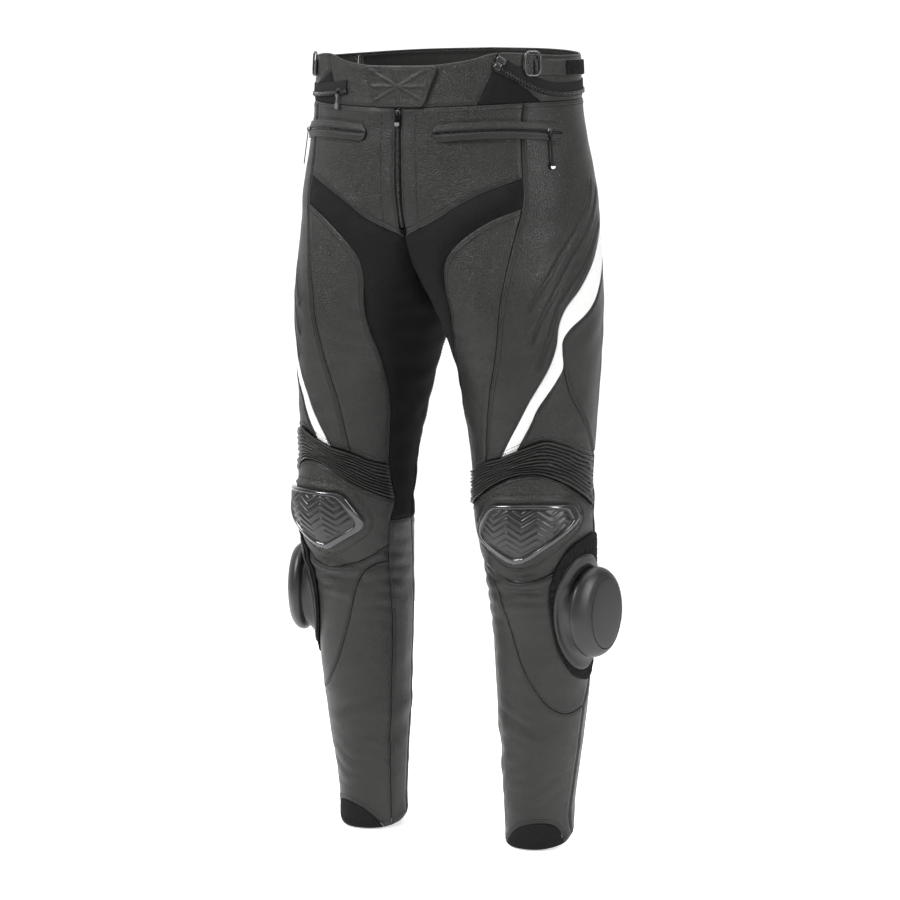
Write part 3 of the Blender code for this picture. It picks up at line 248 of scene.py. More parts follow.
# Seams of the left half as (angle, height)
SEAMS = {
    "band_bottom": [(middle_angle(FLY_TOP, MIDDLE_GAP), FLY_TOP), (middle_angle(FLY_TOP, FLY_HALF), FLY_TOP),
                    (-76, -0.0240), (-57, -0.0215), (-36, -0.0185), (-27, -0.0175), (0, -0.0150),
                    (25, -0.0110), (42, -0.0070), (66, -0.0030), (middle_angle(BACK_TOP, MIDDLE_GAP, True), BACK_TOP)],
    "front_side": [(-36, -0.0185), (-40, -0.065), (-43, -0.110), (-46, -0.146), (-57, -0.200), (-71, -0.262),
                   (-83, -0.325), (-98, -0.388), (-112, -0.4605)],
    "fly_edge": [(middle_angle(level, FLY_HALF), level) for level in (FLY_TOP, -0.080, -0.130, -0.172)]
                + [(middle_angle(FLY_END, MIDDLE_GAP), FLY_END)],
    "stretch_top": [(-43, -0.110), (-60, -0.1250), (-75, -0.1420), (-92, -0.1630),
                    (middle_angle(FLY_END, MIDDLE_GAP), FLY_END)],
    "stretch_edge": [(-46, -0.146), (-61, -0.1590), (-77, -0.1785), (-91, -0.1990), (-100, -0.2170),
                     (-107, -0.2400), (-113, -0.2700), (-122, -0.3050), (-133, -0.3380), (-143, -0.3780),
                     (-149, -0.4260), (-151, -0.4775)],
    "crotch": [(middle_angle(SEAT_END, MIDDLE_GAP, True), SEAT_END)]
              + [(angle, crotch_height(angle)) for angle in CROTCH_ANGLES]
              + [(middle_angle(FLY_END, MIDDLE_GAP) + 360.0, FLY_END)],
    "centre_back": [(middle_angle(level, MIDDLE_GAP, True), level)
                    for level in (BACK_TOP, -0.060, -0.115, -0.160, -0.200, SEAT_END)],
    "side_back": [(42, -0.0070), (39, -0.0700), (33, -0.1450), (30, -0.2000), (27, -0.2700), (24, -0.3500),
                  (24, -0.4555)],
    "flash_front": [(33, -0.1450), (11, -0.1930), (2, -0.2140), (-12, -0.2430), (-26, -0.2670), (-33, -0.2900),
                    (-36, -0.3150), (-42, -0.3380), (-50, -0.3580), (-60, -0.3800), (-72, -0.4090), (-92, -0.4530)],
    "flash_back": [(30, -0.2000), (12, -0.2430), (3, -0.2630), (-7, -0.2770), (-22, -0.2920), (-30, -0.3070),
                   (-31, -0.3230), (-31, -0.3420), (-37, -0.3570), (-46, -0.3750), (-55, -0.3930), (-62, -0.4120),
                   (-76, -0.4440)],
    "lower_side": [(-31, -0.3420), (-25, -0.3740), (-12, -0.4040), (2, -0.4330), (14, -0.4580)],
    "knee_top": [(24, -0.4555), (14, -0.4580), (-6, -0.4520), (-34, -0.4370), (-50, -0.4320), (-68, -0.4395),
                 (-76, -0.4440), (-92, -0.4530), (-112, -0.4605), (-131, -0.4710), (-151, -0.4775)],
    "rib_bottom": [(12, -0.5200), (-14, -0.5000), (-35, -0.4840), (-58, -0.4735), (-80, -0.4755), (-100, -0.4865),
                   (-122, -0.5030), (-142, -0.5150), (-160, -0.5230)],
    "knee_outer": [(14, -0.4580), (13, -0.4900), (12, -0.5200), (14, -0.5630)],
    "under_knee": [(-152, -0.5820), (-124, -0.6010), (-104, -0.6080), (-86, -0.6120), (-62, -0.6050),
                   (-42, -0.5930), (-24, -0.5780), (14, -0.5630)],
    "inner_front": [(-151, -0.4775), (-160, -0.5230), (-155, -0.5500), (-152, -0.5820), (-151, -0.6040),
                    (-152, -0.6450), (-154, -0.7110), (-152, -0.7700), (-149, -0.8500), (-149, -0.8910),
                    (-152, -0.9610)],
    "stretch_bottom": [(-155, -0.5500), (-175, -0.5500), (-188, -0.5510)],
    "inner_rear": [(middle_angle(SEAT_END, MIDDLE_GAP, True), SEAT_END), (150, -0.2680), (150, -0.3100),
                   (153, -0.3700), (158, -0.4300), (160, -0.4550), (166, -0.5050), (172, -0.5510)],
    "inner_back": [(172, -0.5510), (167, -0.5960), (166, -0.6520), (165, -0.7190), (168, -0.8180), (171, -0.8780),
                   (169, -0.9530)],
    "back_knee_top": [(24, -0.4555), (60, -0.4480), (100, -0.4440), (135, -0.4470), (160, -0.4550)],
    "back_knee_bottom": [(14, -0.5630), (60, -0.5680), (110, -0.5620), (150, -0.5540), (172, -0.5510)],
    "shin_curve": [(-151, -0.6040), (-140, -0.6065), (-126, -0.6140), (-116, -0.6290), (-107, -0.6560),
                   (-97, -0.6930), (-84, -0.7320), (-64, -0.7650), (-46, -0.7795), (-28, -0.7840), (-2, -0.7770)],
    "calf_outer": [(14, -0.5630), (34, -0.6000), (36, -0.6500), (26, -0.7100), (-2, -0.7770)],
    "shin_outer": [(-2, -0.7770), (-2, -0.8230), (-4, -0.8740), (-6, -0.9260), (6, -0.9510)],
    "hem_arch": [(-138, -0.9625), (-119, -0.9470), (-96, -0.9345), (-68, -0.9285), (-42, -0.9310), (-28, -0.9400),
                 (-16, -0.9575)],
    "hem_front": [(-152, -0.9610), (-138, -0.9625), (-110, -0.9635), (-64, -0.9630), (-36, -0.9605),
                  (-16, -0.9575), (6, -0.9510)],
    "hem_back": [(6, -0.9510), (50, -0.9460), (100, -0.9455), (140, -0.9490), (169, -0.9530)],
    "hem_inner": [(169, -0.9530), (188, -0.9575), (208, -0.9610)],
    "band_top": [(middle_angle(0.026, MIDDLE_GAP), 0.0260), (-74, 0.0275), (-60, 0.0335), (-47, 0.0420),
                 (-20, 0.0395), (0, 0.0400), (25, 0.0430), (58, 0.0480), (90, 0.0500)],
    "band_end": [(-47, 0.0420), (-50, 0.0200), (-57, -0.0215)],
    "wedge_top": [(-50, 0.0200), (-38, 0.0040), (-27, -0.0175)],
    "band_split": [(25, -0.0110), (25, 0.0430)],
}

# Panels of one side: runs of seams as (seam, first point, last point), round the panel
PANELS = {
    "front_hip": [("band_bottom", 1, 4), ("front_side", 0, 2), ("stretch_top", 0, 4), ("fly_edge", 4, 0)],
    "side_panel": [("band_bottom", 4, 8), ("side_back", 0, 2), ("flash_front", 0, 11), ("knee_top", 7, 8),
                   ("front_side", 8, 0)],
    "front_thigh": [("front_side", 3, 8), ("knee_top", 8, 10), ("stretch_edge", 11, 0)],
    "inner_stretch": [("front_side", 2, 3), ("stretch_edge", 0, 11), ("inner_front", 0, 2), ("stretch_bottom", 0, 2),
                      ("inner_rear", 7, 0), ("crotch", 0, 9), ("stretch_top", 4, 0)],
    "side_flash": [("side_back", 2, 3), ("flash_back", 0, 12), ("knee_top", 6, 7), ("flash_front", 11, 0)],
    "side_lower": [("side_back", 3, 6), ("knee_top", 0, 1), ("lower_side", 4, 0), ("flash_back", 7, 0)],
    "side_wedge": [("lower_side", 0, 4), ("knee_top", 1, 6), ("flash_back", 12, 7)],
    "knee_panel": [("rib_bottom", 0, 8), ("inner_front", 1, 3), ("under_knee", 0, 7), ("knee_outer", 3, 2)],
    "slider_panel": [("under_knee", 7, 0), ("inner_front", 3, 4), ("shin_curve", 0, 10), ("calf_outer", 4, 0)],
    "shin_front": [("shin_curve", 10, 0), ("inner_front", 4, 10), ("hem_front", 0, 1), ("hem_arch", 0, 6),
                   ("hem_front", 5, 6), ("shin_outer", 4, 0)],
    "hem_insert": [("hem_arch", 6, 0), ("hem_front", 1, 5)],
    "calf_inner": [("stretch_bottom", 2, 0), ("inner_front", 2, 10), ("hem_inner", 2, 0), ("inner_back", 6, 0)],
    "calf_back": [("inner_back", 0, 6), ("hem_back", 4, 0), ("shin_outer", 4, 0), ("calf_outer", 4, 0),
                  ("back_knee_bottom", 0, 4)],
    "back_knee": [("back_knee_top", 4, 0), ("knee_top", 0, 1), ("knee_outer", 0, 3), ("back_knee_bottom", 0, 4),
                  ("inner_rear", 7, 5)],
    "back_panel": [("band_bottom", 8, 10), ("centre_back", 0, 5), ("inner_rear", 0, 5), ("back_knee_top", 4, 0),
                   ("side_back", 6, 0)],
    "band_front": [("band_bottom", 0, 3), ("band_end", 2, 0), ("band_top", 3, 0)],
    "band_wedge": [("band_bottom", 3, 5), ("wedge_top", 2, 0), ("band_end", 1, 2)],
    "band_side": [("wedge_top", 0, 2), ("band_bottom", 5, 7), ("band_split", 0, 1), ("band_top", 6, 3),
                  ("band_end", 0, 1)],
}
WRAPPED = ("inner_stretch", "calf_inner")
STRETCH_PANELS = ("inner_stretch", "back_knee", "band_wedge", "hem_insert")

# Lines pressed into the hip beside the flash, as (angle, height)
CHANNELS = [
    [(2, -0.118), (-3, -0.140), (-12, -0.165), (-24, -0.196), (-38, -0.232), (-53, -0.268)],
    [(10, -0.125), (0, -0.160), (-9, -0.186), (-21, -0.213), (-33, -0.246), (-44, -0.276), (-54, -0.305)],
    [(12, -0.165), (2, -0.190), (-10, -0.220), (-23, -0.246), (-33, -0.270), (-41, -0.303), (-51, -0.338)],
]
CUP_CORNERS = [(-107, -0.5120), (-66, -0.5095), (-25, -0.5115), (-18, -0.5300), (-84, -0.5900), (-130, -0.5530)]


def smooth_line(points, step):
    """Even stations along a smooth curve through pattern points."""
    points = np.array(points, float)
    padded = np.vstack([2 * points[0] - points[1], points, 2 * points[-1] - points[-2]])
    t = np.linspace(0, 1, 24, endpoint=False)[:, None]
    dense = [0.5 * (2 * start + (end - before) * t + (2 * before - 5 * start + 4 * end - after) * t ** 2
                    + (3 * start - before - 3 * end + after) * t ** 3)
             for before, start, end, after in zip(padded[:-3], padded[1:-2], padded[2:-1], padded[3:])]
    dense = np.vstack(dense + [points[-1][None]])
    arc = np.concatenate([[0.0], np.cumsum(np.linalg.norm(np.diff(flatten(dense), axis=0), axis=1))])
    at = np.linspace(0.0, arc[-1], max(2, round(arc[-1] / step) + 1))
    return np.stack([np.interp(at, arc, dense[:, 0]), np.interp(at, arc, dense[:, 1])], axis=1)


def flatten(pattern):
    """Pattern points in metres: arc length round the form across, height up."""
    return np.stack([np.radians(pattern[:, 0]) * mean_radius(pattern[:, 1]), pattern[:, 1]], axis=1)


def seam_run(name, first, last, step=SEAM_STEP):
    """Stations along a seam between two of its points, piece by piece on its own smooth curve."""
    points = np.array(SEAMS[name], float)
    padded = np.vstack([2 * points[0] - points[1], points, 2 * points[-1] - points[-2]])
    low, high = min(first, last), max(first, last)
    stations = []
    for index in range(low, high):
        before, start, end, after = padded[index:index + 4]
        radius = float(mean_radius((start[1] + end[1]) / 2))
        length = math.hypot(math.radians(end[0] - start[0]) * radius, end[1] - start[1])
        steps = max(1, round(length / step))
        t = (np.arange(steps) / steps)[:, None]
        stations.append(0.5 * (2 * start + (end - before) * t + (2 * before - 5 * start + 4 * end - after) * t ** 2
                               + (3 * start - before - 3 * end + after) * t ** 3))
    run = np.vstack(stations + [points[high][None]])
    return run if first < last else run[::-1]


def signed_area(outline):
    """Shoelace area of a flat outline, positive when it runs anticlockwise."""
    following = np.roll(outline, -1, axis=0)
    return float(np.sum(outline[:, 0] * following[:, 1] - following[:, 0] * outline[:, 1]) / 2)


def inset(outline, distance):
    """Outline moved inwards by a distance on the cloth, mitred at its corners."""
    scale = np.stack([np.radians(1.0) * mean_radius(outline[:, 1]), np.ones(len(outline))], axis=1)
    before = (outline - np.roll(outline, 1, axis=0)) * scale
    after = (np.roll(outline, -1, axis=0) - outline) * scale
    before /= np.linalg.norm(before, axis=1, keepdims=True)
    after /= np.linalg.norm(after, axis=1, keepdims=True)
    left_before = np.stack([-before[:, 1], before[:, 0]], axis=1)
    left_after = np.stack([-after[:, 1], after[:, 0]], axis=1)
    stretch = distance / np.maximum(1.0 + np.sum(left_before * left_after, axis=1), 0.25)
    return outline + (left_before + left_after) * stretch[:, None] / scale


def panel_outline(name):
    """Closed outline of a panel from its seams, anticlockwise seen from outside."""
    runs = [seam_run(*run)[:-1] for run in PANELS[name]]
    last_seam, _, last_point = PANELS[name][-1]
    outline = np.vstack([np.mod(run, (360.0, 1e9)) - (0.0, 1e9) if name in WRAPPED else run for run in runs])
    end = np.array(SEAMS[last_seam][last_point], float)
    if name in WRAPPED:
        end[0] %= 360.0
    if np.abs(end - outline[0]).max() > 1e-6:
        outline = np.vstack([outline, end])
    if signed_area(outline) < 0:
        outline = outline[::-1]
    return inset(outline, SEAM_GAP / 2)


def inside(points, outline):
    """Which points lie in the outline: crossings of a level ray are odd."""
    x, y = points[:, 0:1], points[:, 1:2]
    x0, y0 = outline[:, 0][None], outline[:, 1][None]
    x1, y1 = np.roll(outline[:, 0], -1)[None], np.roll(outline[:, 1], -1)[None]
    crosses = (y0 > y) != (y1 > y)
    run = np.where(y1 == y0, 1e-12, y1 - y0)
    return np.sum(crosses & (x < x0 + (y - y0) * (x1 - x0) / run), axis=1) % 2 == 1


def distance_to(points, line, closed=True):
    """Shortest distance on the flat pattern from each point to a line of straight pieces."""
    starts = line if closed else line[:-1]
    ends = np.roll(line, -1, axis=0) if closed else line[1:]
    along = ends - starts
    nearest = np.full(len(points), 1e9)
    for begin in range(0, len(points), 2000):
        rel = points[begin:begin + 2000, None] - starts[None]
        t = np.clip(np.sum(rel * along, axis=2) / np.maximum(np.sum(along ** 2, axis=1), 1e-12), 0, 1)
        nearest[begin:begin + 2000] = np.linalg.norm(rel - t[..., None] * along, axis=2).min(axis=1)
    return nearest


def lattice(outline, grid):
    """Staggered rows of pattern points over the outline's box."""
    rows = []
    for index, level in enumerate(np.arange(outline[:, 1].min(), outline[:, 1].max(), grid * 0.866)):
        step = math.degrees(grid / float(mean_radius(level)))
        angles = np.arange(outline[:, 0].min() + step * (0.5 if index % 2 else 0.0), outline[:, 0].max(), step)
        rows.append(np.stack([angles, np.full(len(angles), level)], axis=1))
    return np.vstack(rows)


def seam_relief(distance):
    """Level of the cloth beside a seam: a dip on the seam, a rolled edge and a pressed stitch line."""
    return (-0.0009 * np.exp(-(distance / 0.0011) ** 2) + 0.0005 * np.exp(-((distance - 0.0048) / 0.0030) ** 2)
            - 0.0005 * np.exp(-((distance - 0.0029) / 0.0009) ** 2))


# Groups of worn creases: angle, height, angle reach, height reach, spacing, rise for each degree, depth
CREASES = [
    (-84.0, -0.6230, 46.0, 0.026, 0.0175, 0.00030, 0.0034),
    (-96.0, -0.8000, 44.0, 0.036, 0.0250, -0.00026, 0.0019),
    (-66.0, -0.8800, 46.0, 0.036, 0.0210, 0.00026, 0.0014),
    (-150.0, -0.8500, 44.0, 0.050, 0.0230, 0.00034, 0.0018),
    (-150.0, -0.6300, 34.0, 0.070, 0.0220, 0.00040, 0.0020),
    (95.0, -0.5050, 56.0, 0.050, 0.0200, 0.00012, 0.0014),
    (100.0, -0.8200, 50.0, 0.070, 0.0280, 0.00024, 0.0012),
    (-62.0, -0.4300, 44.0, 0.030, 0.0240, 0.00030, 0.0008),
    (-118.0, -0.3000, 30.0, 0.060, 0.0260, 0.00060, 0.0010),
    (95.0, -0.2600, 50.0, 0.070, 0.0300, 0.00050, 0.0013),
    (150.0, -0.4000, 50.0, 0.080, 0.0300, 0.00050, 0.0012),
]


def undulation(points):
    """Unevenness of worn cloth: crossed slow waves 0.5 mm high together, and the groups of creases.

    A crease is a valley between two rounded rolls. Each group fades out from its middle, and its
    creases wander a little as they go round the leg.
    """
    x, y, z = points.T
    angle = np.degrees(np.arctan2((y - body_column("centre_y", z)) / body_column("half_depth", z),
                                  (np.abs(x) - body_column("centre_x", z)) / body_column("half_width", z)))
    creased = np.zeros(len(x))
    for middle, height, reach, tall, spacing, rise, depth in CREASES:
        turn = (angle - middle + 180.0) % 360.0 - 180.0
        window = np.exp(-(turn / reach) ** 2 - ((z - height) / tall) ** 2)
        phase = math.pi * (z - height - rise * turn) / spacing + 0.9 * np.sin(0.055 * turn + 40 * z)
        creased += depth * window * (np.abs(np.sin(phase)) ** 0.8 - 0.6)
    return creased + (0.00022 * np.sin(61 * x + 83 * z + 2.0 * np.sin(37 * y - 29 * z))
            + 0.00016 * np.sin(113 * y - 71 * z + 1.7 * np.sin(53 * x + 41 * z))
            + 0.00012 * np.sin(171 * z + 47 * x - 89 * y))


def build(name, points, faces, finishes, slot, body="trousers", pattern=None, finish_of=None):
    """One object from arrays, smooth shaded, riding on a body, with its flat pattern as UV map."""
    mesh = bpy.data.meshes.new(name)
    mesh.from_pydata(np.asarray(points, float).tolist(), [], np.asarray(faces).tolist())
    for finish in finishes:
        mesh.materials.append(finish)
    if finish_of is not None:
        mesh.polygons.foreach_set("material_index", np.asarray(finish_of, np.int32))
    if pattern is not None:
        corners = np.empty(len(mesh.loops), np.int32)
        mesh.loops.foreach_get("vertex_index", corners)
        mesh.uv_layers.new(name="cut").data.foreach_set("uv", np.asarray(pattern, np.float32)[corners].ravel())
    mesh.shade_smooth()
    made = bpy.data.objects.new(name, mesh)
    bpy.context.scene.collection.objects.link(made)
    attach(made, body)
    return made


def both_sides(name, points, faces, *finish, node=None, **options):
    """The left piece and its mirror image, each standing for its own CAD node."""
    pieces = []
    for side, flip in (("left", 1.0), ("right", -1.0)):
        turned = np.asarray(faces) if side == "left" else np.asarray(faces)[:, ::-1]
        made = build(f"{name}_{side}", np.asarray(points) * (flip, 1.0, 1.0), turned, *finish, **options)
        if node:
            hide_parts(f"{node}_{side}")
        pieces.append(made)
    return pieces


def thicken(piece, thickness, offset=-1.0):
    """Solidify a sheet inwards to its real thickness."""
    wall = piece.modifiers.new("thickness", "SOLIDIFY")
    wall.thickness, wall.offset, wall.use_even_offset = thickness, offset, False


def offset_line(line, distance):
    """Pattern line moved to its left by a distance on the cloth."""
    scale = np.stack([np.radians(1.0) * mean_radius(line[:, 1]), np.ones(len(line))], axis=1)
    ahead = np.gradient(line, axis=0) * scale
    ahead /= np.linalg.norm(ahead, axis=1, keepdims=True)
    return line + np.stack([-ahead[:, 1], ahead[:, 0]], axis=1) * distance / scale


def cut_sheet(outline, grid=CUT_GRID, point=leg_point, relief=None, base=0.0, pressed=()):
    """Fine sheet over a pattern outline: rows beside the seam, then an even lattice, triangulated flat.

    Each point is the form's point moved out along its normal by the seam's relief, the cloth's
    undulation and the piece's own relief, which is a function of the flat pattern. Lines pressed
    into the piece get close rows of their own.
    """
    flat_outline = flatten(outline)
    parts = [outline]
    for row in (0.0012, 0.0026, 0.0040, 0.0062):
        ring = inset(outline, row)
        parts.append(ring[distance_to(flatten(ring), flat_outline) > 0.8 * row])
    free = lattice(outline, grid)
    for line in pressed:
        near = np.vstack([offset_line(line, away) for away in (-0.0072, -0.0048, -0.0026, 0.0, 0.0026, 0.0048, 0.0072)])
        near = near[inside(near, outline)]
        parts.append(near[distance_to(flatten(near), flat_outline) > 0.0085])
        free = free[distance_to(flatten(free), flatten(line), closed=False) > 0.0072 + 0.5 * grid]
    free = free[inside(free, outline)]
    parts.append(free[distance_to(flatten(free), flat_outline) > 0.0062 + 0.6 * grid])
    pattern = np.vstack(parts)
    flat = flatten(pattern)
    distance = distance_to(flat, flat_outline)
    form = point(pattern[:, 0], pattern[:, 1])
    level = base + seam_relief(distance) + undulation(form)
    if relief is not None:
        level = level + relief(flat, distance)
    points = form + outward(point, pattern[:, 0], pattern[:, 1]) * level[:, None]
    if point is leg_point:
        points[:, 0] = np.maximum(points[:, 0], SEAM_GAP / 2)
    count = len(outline)
    edges = [(i, (i + 1) % count) for i in range(count)]
    _, _, triangles, sources, _, _ = delaunay_2d_cdt([Vector(xy) for xy in flat.tolist()], edges,
                                                     [list(range(count))], 1, 1e-7)
    source = np.array([origins[0] for origins in sources])
    return points, source[np.array(triangles)], flat


def declare_cut(outline):
    """Works out what the flat pattern of the piece measures along its own two main directions, but neither returns nor
    records it.

    A bent strip is given by its middle's length, half of its outline's, and its mean width.
    """
    flat = flatten(outline)
    area = abs(signed_area(flat))
    centred = flat - flat.mean(axis=0)
    wide, long = np.ptp(centred @ np.linalg.svd(centred, full_matrices=False)[2].T, axis=0)
    if area < 0.4 * wide * long:
        long = float(np.linalg.norm(flat - np.roll(flat, 1, axis=0), axis=1).sum()) / 2
        wide = area / long


def new_material(name, roughness, metallic=0.0):
    """Principled material and its node tree, ready for textures."""
    made = bpy.data.materials.new(name)
    made.use_nodes = True
    shader = made.node_tree.nodes["Principled BSDF"]
    shader.inputs["Roughness"].default_value = roughness
    shader.inputs["Metallic"].default_value = metallic
    return made, made.node_tree, shader


def texture(tree, kind, coordinate, **settings):
    """Texture node of a kind on a coordinate output, with its sockets set by name."""
    node = tree.nodes.new(kind)
    place = next((n for n in tree.nodes if n.type == "TEX_COORD"), None) or tree.nodes.new("ShaderNodeTexCoord")
    tree.links.new(place.outputs[coordinate], node.inputs["Vector"])
    for socket, value in settings.items():
        node.inputs[socket.replace("_", " ")].default_value = value
    return node


def shades(tree, value, stops):
    """Colour ramp from a value: stops are (position, colour)."""
    ramp = tree.nodes.new("ShaderNodeValToRGB")
    tree.links.new(value, ramp.inputs["Fac"])
    while len(ramp.color_ramp.elements) < len(stops):
        ramp.color_ramp.elements.new(0.5)
    for element, (position, colour) in zip(ramp.color_ramp.elements, stops):
        element.position = position
        element.color = (*colour, 1.0)
    return ramp.outputs["Color"]


def spread(tree, value, low, high):
    """Value from 0..1 mapped to a range."""
    node = tree.nodes.new("ShaderNodeMapRange")
    tree.links.new(value, node.inputs["Value"])
    node.inputs["To Min"].default_value, node.inputs["To Max"].default_value = low, high
    return node.outputs["Result"]


def add_bump(tree, shader, height, strength, distance):
    """Bump on top of any bump that the shader already has."""
    node = tree.nodes.new("ShaderNodeBump")
    tree.links.new(height, node.inputs["Height"])
    node.inputs["Strength"].default_value, node.inputs["Distance"].default_value = strength, distance
    if shader.inputs["Normal"].links:
        tree.links.new(shader.inputs["Normal"].links[0].from_socket, node.inputs["Normal"])
    tree.links.new(node.outputs["Normal"], shader.inputs["Normal"])


def hide_material(name, dark, light, roughness):
    """Grained hide: pebbles between fine creases, pores, and slow changes of shade and gloss."""
    made, tree, shader = new_material(name, sum(roughness) / 2)
    cloud = texture(tree, "ShaderNodeTexNoise", "Object", Scale=9.0, Detail=5.0, Roughness=0.6)
    pebbles = texture(tree, "ShaderNodeTexVoronoi", "Object", Scale=430.0, Randomness=1.0)
    pebbles.feature = "DISTANCE_TO_EDGE"
    pores = texture(tree, "ShaderNodeTexNoise", "Object", Scale=1500.0, Detail=3.0)
    creases = texture(tree, "ShaderNodeTexNoise", "Object", Scale=110.0, Detail=6.0, Distortion=1.2)
    tree.links.new(shades(tree, cloud.outputs["Fac"], [(0.30, dark), (0.72, light)]), shader.inputs["Base Color"])
    tree.links.new(spread(tree, creases.outputs["Fac"], *roughness), shader.inputs["Roughness"])
    edge = shades(tree, pebbles.outputs["Distance"], [(0.0, (0, 0, 0)), (0.16, (1, 1, 1))])
    add_bump(tree, shader, creases.outputs["Fac"], 0.40, 0.0015)
    add_bump(tree, shader, edge, 0.70, 0.00032)
    add_bump(tree, shader, pores.outputs["Fac"], 0.30, 0.00020)
    shader.inputs["Specular IOR Level"].default_value = 0.26
    return made


black_hide = hide_material("black_cowhide", (0.0085, 0.0085, 0.0078), (0.0150, 0.0150, 0.0139), (0.32, 0.48))
channel_lines = [smooth_line(line, 0.0034) for line in CHANNELS]
channel_flats = [flatten(line) for line in channel_lines]


def pressed_lines(flat, distance):
    """Three lines pressed into the padded hip, each with soft shoulders."""
    relief = np.zeros(len(flat))
    for line in channel_flats:
        away = distance_to(flat, line, closed=False)
        relief += 0.0010 * np.exp(-((away - 0.0056) / 0.0030) ** 2) - 0.0021 * np.exp(-(away / 0.0024) ** 2)
    return relief


def rounded(corners, share=0.12):
    """Closed outline whose corners are cut back twice by a share of their sides, which rounds them."""
    outline = np.array(corners, float)
    for _ in range(2):
        following = np.roll(outline, -1, axis=0)
        near = (1 - share) * outline + share * following
        far = share * outline + (1 - share) * following
        outline = np.stack([near, far], axis=1).reshape(-1, 2)
    return outline if signed_area(outline) > 0 else outline[::-1]


def spaced(outline, step):
    """Closed outline in even steps, its corners softened over two steps."""
    closed = np.vstack([outline, outline[:1]])
    arc = np.concatenate([[0.0], np.cumsum(np.linalg.norm(np.diff(flatten(closed), axis=0), axis=1))])
    at = np.linspace(0.0, arc[-1], round(arc[-1] / step), endpoint=False)
    even = np.stack([np.interp(at, arc, closed[:, 0]), np.interp(at, arc, closed[:, 1])], axis=1)
    return (np.roll(even, 1, axis=0) + 2 * even + np.roll(even, -1, axis=0)) / 4


cup_outline = spaced(rounded(CUP_CORNERS), 0.0016)


def cup_welt(flat, distance):
    """Padded rim round the knee cup, with its stitch line pressed outside it."""
    away = distance_to(flat, flatten(cup_outline))
    pattern = np.stack([np.degrees(flat[:, 0] / mean_radius(flat[:, 1])), flat[:, 1]], axis=1)
    away = np.where(inside(pattern, cup_outline), 0.0, away)
    shown = np.clip(away / 0.0015, 0.0, 1.0) * np.clip(distance / 0.004, 0.0, 1.0)
    rim = 0.0024 * np.exp(-((away - 0.0045) / 0.0030) ** 2)
    return shown * (rim - 0.0006 * np.exp(-((away - 0.0095) / 0.0010) ** 2))


PANEL_RELIEF = {"side_panel": pressed_lines, "knee_panel": cup_welt}
for panel in PANELS:
    if panel in STRETCH_PANELS or panel == "side_flash":
        continue
    outline = panel_outline(panel)
    points, faces, flat = cut_sheet(outline, relief=PANEL_RELIEF.get(panel),
                                    pressed=channel_lines if panel == "side_panel" else ())
    for cut in both_sides(panel + "_hide", points, faces, [black_hide], "leather", node=panel, pattern=flat):
        thicken(cut, LEATHER)
        declare_cut(outline)

# ---- White flash ----
# One strip of white cowhide on each thigh, let in between the side panels from the back seam
# forward and down to the knee. It is plain: the hide's own grain is all that it shows.
white_hide = hide_material("white_cowhide", (0.54, 0.54, 0.535), (0.60, 0.60, 0.595), (0.40, 0.55))
flash_outline = panel_outline("side_flash")
points, faces, flat = cut_sheet(flash_outline)
for cut in both_sides("flash_hide", points, faces, [white_hide], "white_leather", node="side_flash", pattern=flat):
    thicken(cut, LEATHER)
    declare_cut(flash_outline)

# ---- Stretch cloth ----
# Tough black woven stretch in the crotch, down the inner leg, behind the knee, in the waistband's
# wedges and in the hem's insert. Fine ribs run along the cloth, and it has no gloss.


def stretch_material(name, colour, rib_scale):
    """Ribbed woven cloth: bands across the flat cut, crossed by finer threads."""
    made, tree, shader = new_material(name, 0.88)
    weave = tree.nodes.new("ShaderNodeTexWave")
    cut = tree.nodes.new("ShaderNodeUVMap")
    cut.uv_map = "cut"
    tree.links.new(cut.outputs["UV"], weave.inputs["Vector"])
    weave.inputs["Scale"].default_value = rib_scale
    weave.inputs["Distortion"].default_value = 0.6
    weave.inputs["Detail"].default_value = 1.0
    cross = tree.nodes.new("ShaderNodeTexWave")
    cross.bands_direction = "Y"
    tree.links.new(cut.outputs["UV"], cross.inputs["Vector"])
    cross.inputs["Scale"].default_value = rib_scale * 1.4
    fibres = texture(tree, "ShaderNodeTexNoise", "Object", Scale=900.0, Detail=4.0)
    low, high = tuple(0.65 * c for c in colour), tuple(1.35 * c for c in colour)
    tree.links.new(shades(tree, fibres.outputs["Fac"], [(0.3, low), (0.7, high)]), shader.inputs["Base Color"])
    add_bump(tree, shader, weave.outputs["Fac"], 0.55, 0.0004)
    add_bump(tree, shader, cross.outputs["Fac"], 0.30, 0.0002)
    add_bump(tree, shader, fibres.outputs["Fac"], 0.30, 0.0002)
    shader.inputs["Specular IOR Level"].default_value = 0.10
    return made


stretch_cloth = stretch_material("black_stretch_cloth", (0.0068, 0.0068, 0.0071), 95.0)


def stretch_creases(flat, distance):
    """Shallow slanting creases of stretch cloth, of even depth on every stretch panel and fading out towards its seams.
    """
    u, v = flat.T
    wave = np.sin(150 * v + 60 * u + 1.5 * np.sin(40 * u - 25 * v))
    return 0.0004 * wave * np.clip(distance / 0.012, 0.0, 1.0)


for panel in STRETCH_PANELS:
    outline = panel_outline(panel)
    points, faces, flat = cut_sheet(outline, relief=stretch_creases)
    for cut in both_sides(panel + "_cloth", points, faces, [stretch_cloth], "stretch", node=panel, pattern=flat):
        thicken(cut, STRETCH)
        declare_cut(outline)

# ---- Knee ribs ----
# Cowhide gathered over elastic into ten rounded ribs across each knee, so that it bends. The
# ribs die away into the side seams.
RIB_COUNT, RIB_HEIGHT, ROWS_IN_RIB = 10, 0.0042, 10


def arc_share(path):
    """How far along a pattern line each of its points lies, from 0 to 1, and its length."""
    steps = np.linalg.norm(np.diff(flatten(path), axis=0), axis=1)
    arc = np.concatenate([[0.0], np.cumsum(steps)])
    return arc / arc[-1], float(arc[-1])


